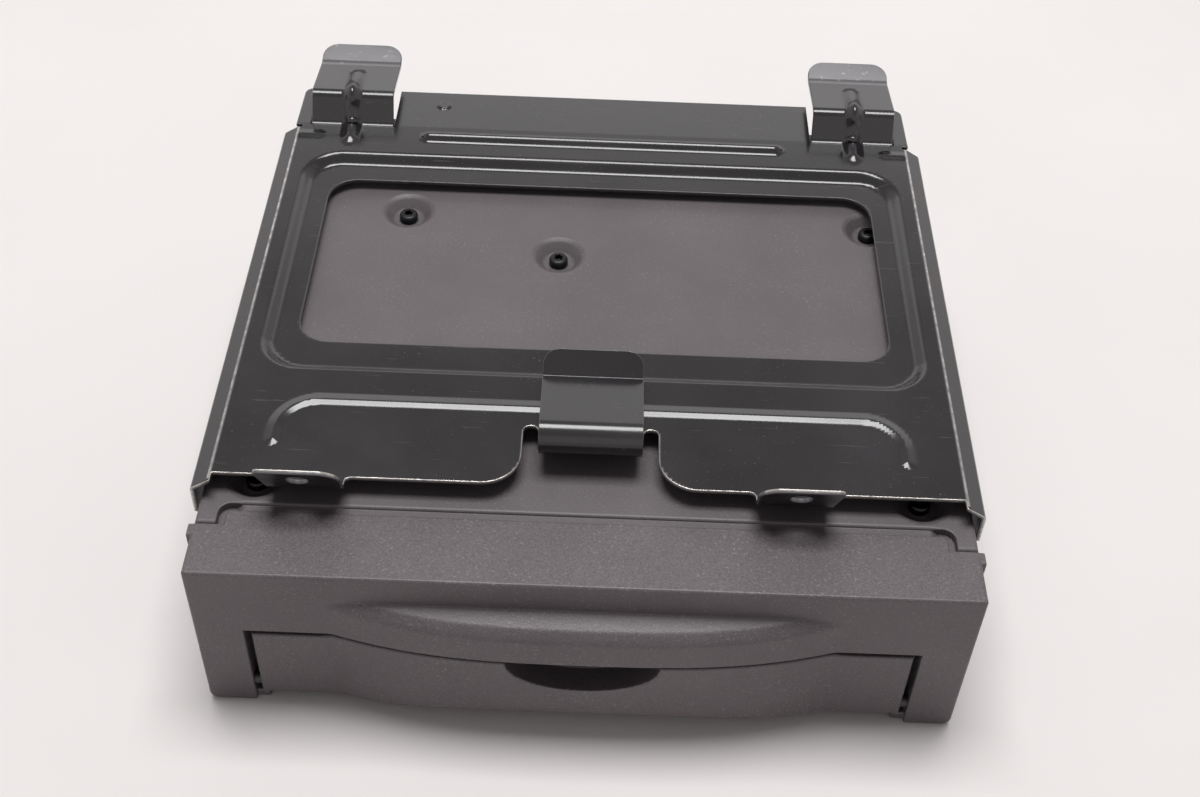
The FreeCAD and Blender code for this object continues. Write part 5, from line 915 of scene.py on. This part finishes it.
def trimmedSheet(name, us, vs, outline, shape, thickness, rim):
    # a sheet of metal: a grid over the flat sheet is trimmed to its outline (grid points near the edge
    # are moved onto it, cells that the edge crosses are cut), every point is carried to its bent place,
    # the lower face lies one thickness below along the normal, and a rounded rim joins the two
    U, V = np.meshgrid(us, vs, indexing="ij")
    F = outline(U, V)
    near = np.abs(F) < 0.32 * np.minimum(np.gradient(us)[:, None], np.gradient(vs)[None, :])
    U[near], V[near] = ontoOutline(outline, U[near], V[near], 3)
    F[near] = 0
    nodeNumber = np.where(F <= 0, np.arange(F.size).reshape(F.shape), -1)

    def crossings(first, start, end):
        # the grid's edges that the outline crosses, numbered from first, and the points where it does
        cross = F[start] * F[end] < 0
        number = np.where(cross, first + np.cumsum(cross).reshape(cross.shape) - 1, -1)
        (fa, fb), (ua, ub), (va, vb) = ((A[start][cross], A[end][cross]) for A in (F, U, V))
        t = fa / (fa - fb)
        return number, *ontoOutline(outline, ua + t * (ub - ua), va + t * (vb - va), 2)

    numberU, u1, v1 = crossings(F.size, np.s_[:-1], np.s_[1:])
    numberV, u2, v2 = crossings(F.size + len(u1), np.s_[:, :-1], np.s_[:, 1:])
    allU = np.concatenate([U.ravel(), u1, u2])
    allV = np.concatenate([V.ravel(), v1, v2])
    onEdge = np.concatenate([(F == 0).ravel(), np.ones(len(u1) + len(u2), bool)])
    ring = np.stack([nodeNumber[:-1, :-1], numberU[:, :-1], nodeNumber[1:, :-1], numberV[1:, :],
                     nodeNumber[1:, 1:], numberU[:, 1:], nodeNumber[:-1, 1:], numberV[:-1, :]], axis=-1).reshape(-1, 8)
    strict = F < 0
    live = (strict[:-1, :-1] | strict[1:, :-1] | strict[1:, 1:] | strict[:-1, 1:]).ravel()
    live &= (ring >= 0).sum(1) >= 3
    ring = ring[live]
    totals = (ring >= 0).sum(1)
    loops = ring[ring >= 0]
    used, loops = np.unique(loops, return_inverse=True)
    loops = loops.ravel()
    u, v, onEdge = allU[used], allV[used], onEdge[used]
    starts = faceStarts(totals)
    P = shape(u, v)
    Pu, Pv = np.moveaxis(slopes(shape, 0.01, u, v), -1, 0)
    N = np.cross(Pu, Pv)
    N /= np.linalg.norm(N, axis=1)[:, None]
    ends = starts + totals - 1
    following = np.arange(len(loops)) + 1
    following[ends] = starts
    count = len(u)
    a, b = loops, loops[following]
    bare = ~np.isin(a.astype(np.int64) * count + b, b.astype(np.int64) * count + a)
    a, b = a[bare], b[bare]
    border = np.unique(np.concatenate([a, b]))
    rimNumber = np.full(count, -1)
    rimNumber[border] = np.arange(len(border))
    g = slopes(outline, 0.01, u[border], v[border])
    O = Pu[border] * g[:, :1] + Pv[border] * g[:, 1:]
    O -= (O * N[border]).sum(1)[:, None] * N[border]
    O /= np.maximum(np.linalg.norm(O, axis=1), 1e-9)[:, None]
    Q, M = P[border].copy(), N[border]
    top = P.copy()
    top[border] = Q - rim * O
    bottom = P - thickness * N
    bottom[border] = Q - rim * O - thickness * M
    k = 0.293 * rim
    rings = [Q - k * O - k * M, Q - rim * M, Q - (thickness - rim) * M, Q - k * O - (thickness - k) * M]
    ringNormals = [(O + M) * math.sqrt(0.5), O, O, (O - M) * math.sqrt(0.5)]
    m = len(border)
    points = np.concatenate([top] + rings + [bottom])
    normals = np.concatenate([N] + ringNormals + [-N])
    # rows of points from the upper face over the rim to the lower, at both ends of each border edge
    rowsA, rowsB = ([c, *[count + i * m + rimNumber[c] for i in range(4)], count + 4 * m + c] for c in (a, b))
    strips = np.concatenate([np.stack([rowsA[i], rowsA[i + 1], rowsB[i + 1], rowsB[i]], axis=-1) for i in range(5)])
    # the lower face's corners run the other way round
    index = np.arange(len(loops)) - np.repeat(starts, totals)
    back = np.repeat(starts, totals) + np.repeat(totals, totals) - 1 - index
    lower = loops[back] + count + 4 * m
    allLoops = np.concatenate([loops, lower, strips.ravel()])
    allTotals = np.concatenate([totals, totals, np.full(len(strips), 4)])
    piece = makeMesh(name, place(*points.T), allLoops, allTotals, normals)
    print(name, "points", len(points), "faces", len(allTotals))
    return piece, points, border, (u, v)


def sheetLines():
    # grid lines across and along the flat sheet, fine at its bends, beads and edges
    p = pressing
    across = [(0, 1, 3.0), (p["boss"][0], 3.2, 0.45)]
    across += bothSides((15.8, 2.4, 0.55), (22, 7, 1.1), (82.0, 4.6, 0.8), (91.5, 3.2, 0.7), (102.6, 1.6, 0.5),
                        (p["plateHalf"], 1.4, 0.45), (hookEdges[0], 0.35, 0.1), (hookEdges[1], 0.7, 0.3),
                        (blank["half"], 0.6, 0.4), (p["tailHalf"], 0.6, 0.4))
    for s, inner in p["earInner"].items():
        across += [(s * (inner + 3), 3.6, 0.7), (s * (inner + 10.8), 3.4, 0.6), (s * (inner + 21), 1.6, 0.5)]
    down = [(blank["clipTip"] + 2.5, 3.0, 0.8), (9.5, 2.0, 0.7), (blank["earTip"] + 5.0, 5.6, 0.7), (25.6, 0.8, 0.3),
            (p["plateFront"], 0.6, 0.35), (36.0, 6.6, 0.6), (47.5, 2.2, 0.5), (p["beadDepth"], 3.8, 0.7),
            (39.5, 4.0, 0.8), (68.8, 2.6, 0.7), (p["windowFront"], 0.8, 0.6), (p["windowRear"], 0.8, 0.6),
            (163.4, 2.6, 0.7), (p["ribDepth"], 3.4, 0.7), (178.2, 1.0, 0.35), (180.4, 1.4, 0.35),
            (189.0, 2.6, 0.45), (p["plateRear"], 0.8, 0.4), (p["boss"][1], 2.6, 0.6), (210.0, 2.4, 0.6),
            (blank["hookTip"] - 2.5, 3.0, 0.7)]
    return (gridLines(-blank["half"] - 1, blank["half"] + 1, 4.0, across, 0.6),
            gridLines(blank["clipTip"] - 1, blank["hookTip"] + 1, 4.0, down, 0.6))


bracket, bracketPoints, bracketRim, bracketFlat = trimmedSheet("pressed_bracket", *sheetLines(), sheetOutline,
                                                               formedSheet, sheet, pressing["rim"])


def edgeWearAndHighlight():
    # how far the coat is rubbed off and painted bright, 0.5 at most: along the rounded rim, fading over the nearest
    # cells. On the rim this is partly real wear and partly a painted highlight on the cut edge
    m = len(bracketRim)
    count = (len(bracketPoints) - 4 * m) // 2
    worn = np.zeros(len(bracketPoints))
    # painted sheen: the clip's arm and the hooks' tips get a lighter scuffed grey, partly scuffed by what they slide
    # under and partly their sheen; the thin line along each side bend is a painted highlight
    u, v = bracketFlat
    arm = (np.abs(u) < 14) & (v < 16) & (v > blank["clipTip"] + 9)
    tips = v > blank["hookTip"] - 9
    bend = (np.abs(np.abs(u) - pressing["plateHalf"]) < 0.45) & (v > 26) & (v < 178)
    worn[:count][arm | tips] = 0.27
    worn[:count][bend] = 0.4
    # the front edge, the ears and the clip are handled most, and their rims carry the most painted highlight
    hand = np.where(v[bracketRim] < 62, 1.0, np.where(v[bracketRim] > 184, 0.6, 0.3))
    hand = np.where(earShape(u[bracketRim], v[bracketRim])[1] < 0.5, 0.5, hand)
    worn[bracketRim] = 0.4 * hand
    worn[count:count + 2 * m] = 0.5 * np.tile(hand, 2)
    worn[count + 2 * m:count + 4 * m] = 0.2 * np.tile(hand, 2)
    markPoints(bracket, "worn", worn)


edgeWearAndHighlight()
dress(bracket, coat, "housing", "black_coat", "mounting_bracket", "bracket_ears", "centre_clip", "rear_hooks")
print("bracket ready")

studio = {
    "floor": "#e9e5e4", "floorWorn": "#ece8e7", "walls": "#f4f0ef", "ceiling": "#c2bfbe",
    "skyLight": 0.36,
    "overhead": {"size": (1.0, 0.6), "power": 24.0, "at": (0.0, 0.2, 1.65)},
    "backdrop": {"size": (2.6, 0.8), "power": 3.6, "at": (0.0, 1.75, 0.85)},
}


def floorAndLight():
    # a pale cloth floor in a room with white walls and a dimmer ceiling, an overhead softbox and a wide
    # lamp behind the object; the room lights the object at the share skyLight of what is seen of it
    corners = np.array([[-3, -3, 0], [3, -3, 0], [3, 3, 0], [-3, 3, 0]], float) - [0, 0, 0.0002]
    floorMesh = quadMesh("floor", corners, [[0, 1, 2, 3]])
    material, tree, spot = newMaterial("paleCloth")
    cloud, weave = noise(tree, spot, 9.0, 4.0), noise(tree, spot, 900.0, 2.0)
    base = ramp(tree, cloud, (0.3, linear(studio["floor"])), (0.7, linear(studio["floorWorn"])))
    finishSurface(tree, weave, 0.15, 0.1, Base_Color=base, Roughness=0.9)
    floorMesh.data.materials.append(material)
    world = bpy.data.worlds.new("studio")
    bpy.context.scene.world = world
    world.use_nodes = True
    tree = world.node_tree
    tree.nodes.clear()
    toward = node(tree, "ShaderNodeTexCoord")
    split = node(tree, "ShaderNodeSeparateXYZ", Vector=(toward, "Generated"))
    room = ramp(tree, (split, "Z"), (0.5, linear(studio["walls"])), (0.74, linear(studio["ceiling"])))
    path = node(tree, "ShaderNodeLightPath")
    seen = combine(tree, "MAXIMUM", (path, "Is Camera Ray"), (path, "Is Glossy Ray"))
    shown = combine(tree, "MAXIMUM", seen, (path, "Is Transmission Ray"))
    level = combine(tree, "MULTIPLY_ADD", shown, 1 - studio["skyLight"], studio["skyLight"])
    sky = node(tree, "ShaderNodeBackground", Color=room, Strength=level)
    node(tree, "ShaderNodeOutputWorld", Surface=(sky, "Background"))
    for name in ("overhead", "backdrop"):
        look = studio[name]
        data = bpy.data.lights.new(name, "AREA")
        data.shape = "RECTANGLE"
        data.size, data.size_y = look["size"]
        data.energy = look["power"]
        made = addObject(name, data)
        x, y, z = look["at"]
        made.location = x, y, z
        made.rotation_euler = (math.atan2(math.hypot(x, y), z), 0, math.atan2(x, -y))


floorAndLight()
print("stage ready")


# the photograph's view, found by fitting the front's corners: lens and sensor in mm, angles in radians
view = {"lens": 48.5, "sensor": 36.0, "pitch": 0.794, "yaw": -0.006, "roll": -0.042, "at": (0.23, -246.16, 371.41)}


def placeCamera():
    data = bpy.data.cameras.new("camera")
    camera = addObject("camera", data)
    bpy.context.scene.camera = camera
    data.lens, data.sensor_width = view["lens"], view["sensor"]
    turned = Matrix.Rotation(view["yaw"], 3, "Z") @ Matrix.Rotation(-view["pitch"], 3, "X")
    right, ahead, up = (turned @ Matrix.Rotation(view["roll"], 3, "Y")).col
    camera.matrix_world = Matrix([*zip(right, up, -ahead, place(*view["at"])), (0, 0, 0, 1)])


placeCamera()
bpy.context.scene.view_settings.view_transform = "Standard"
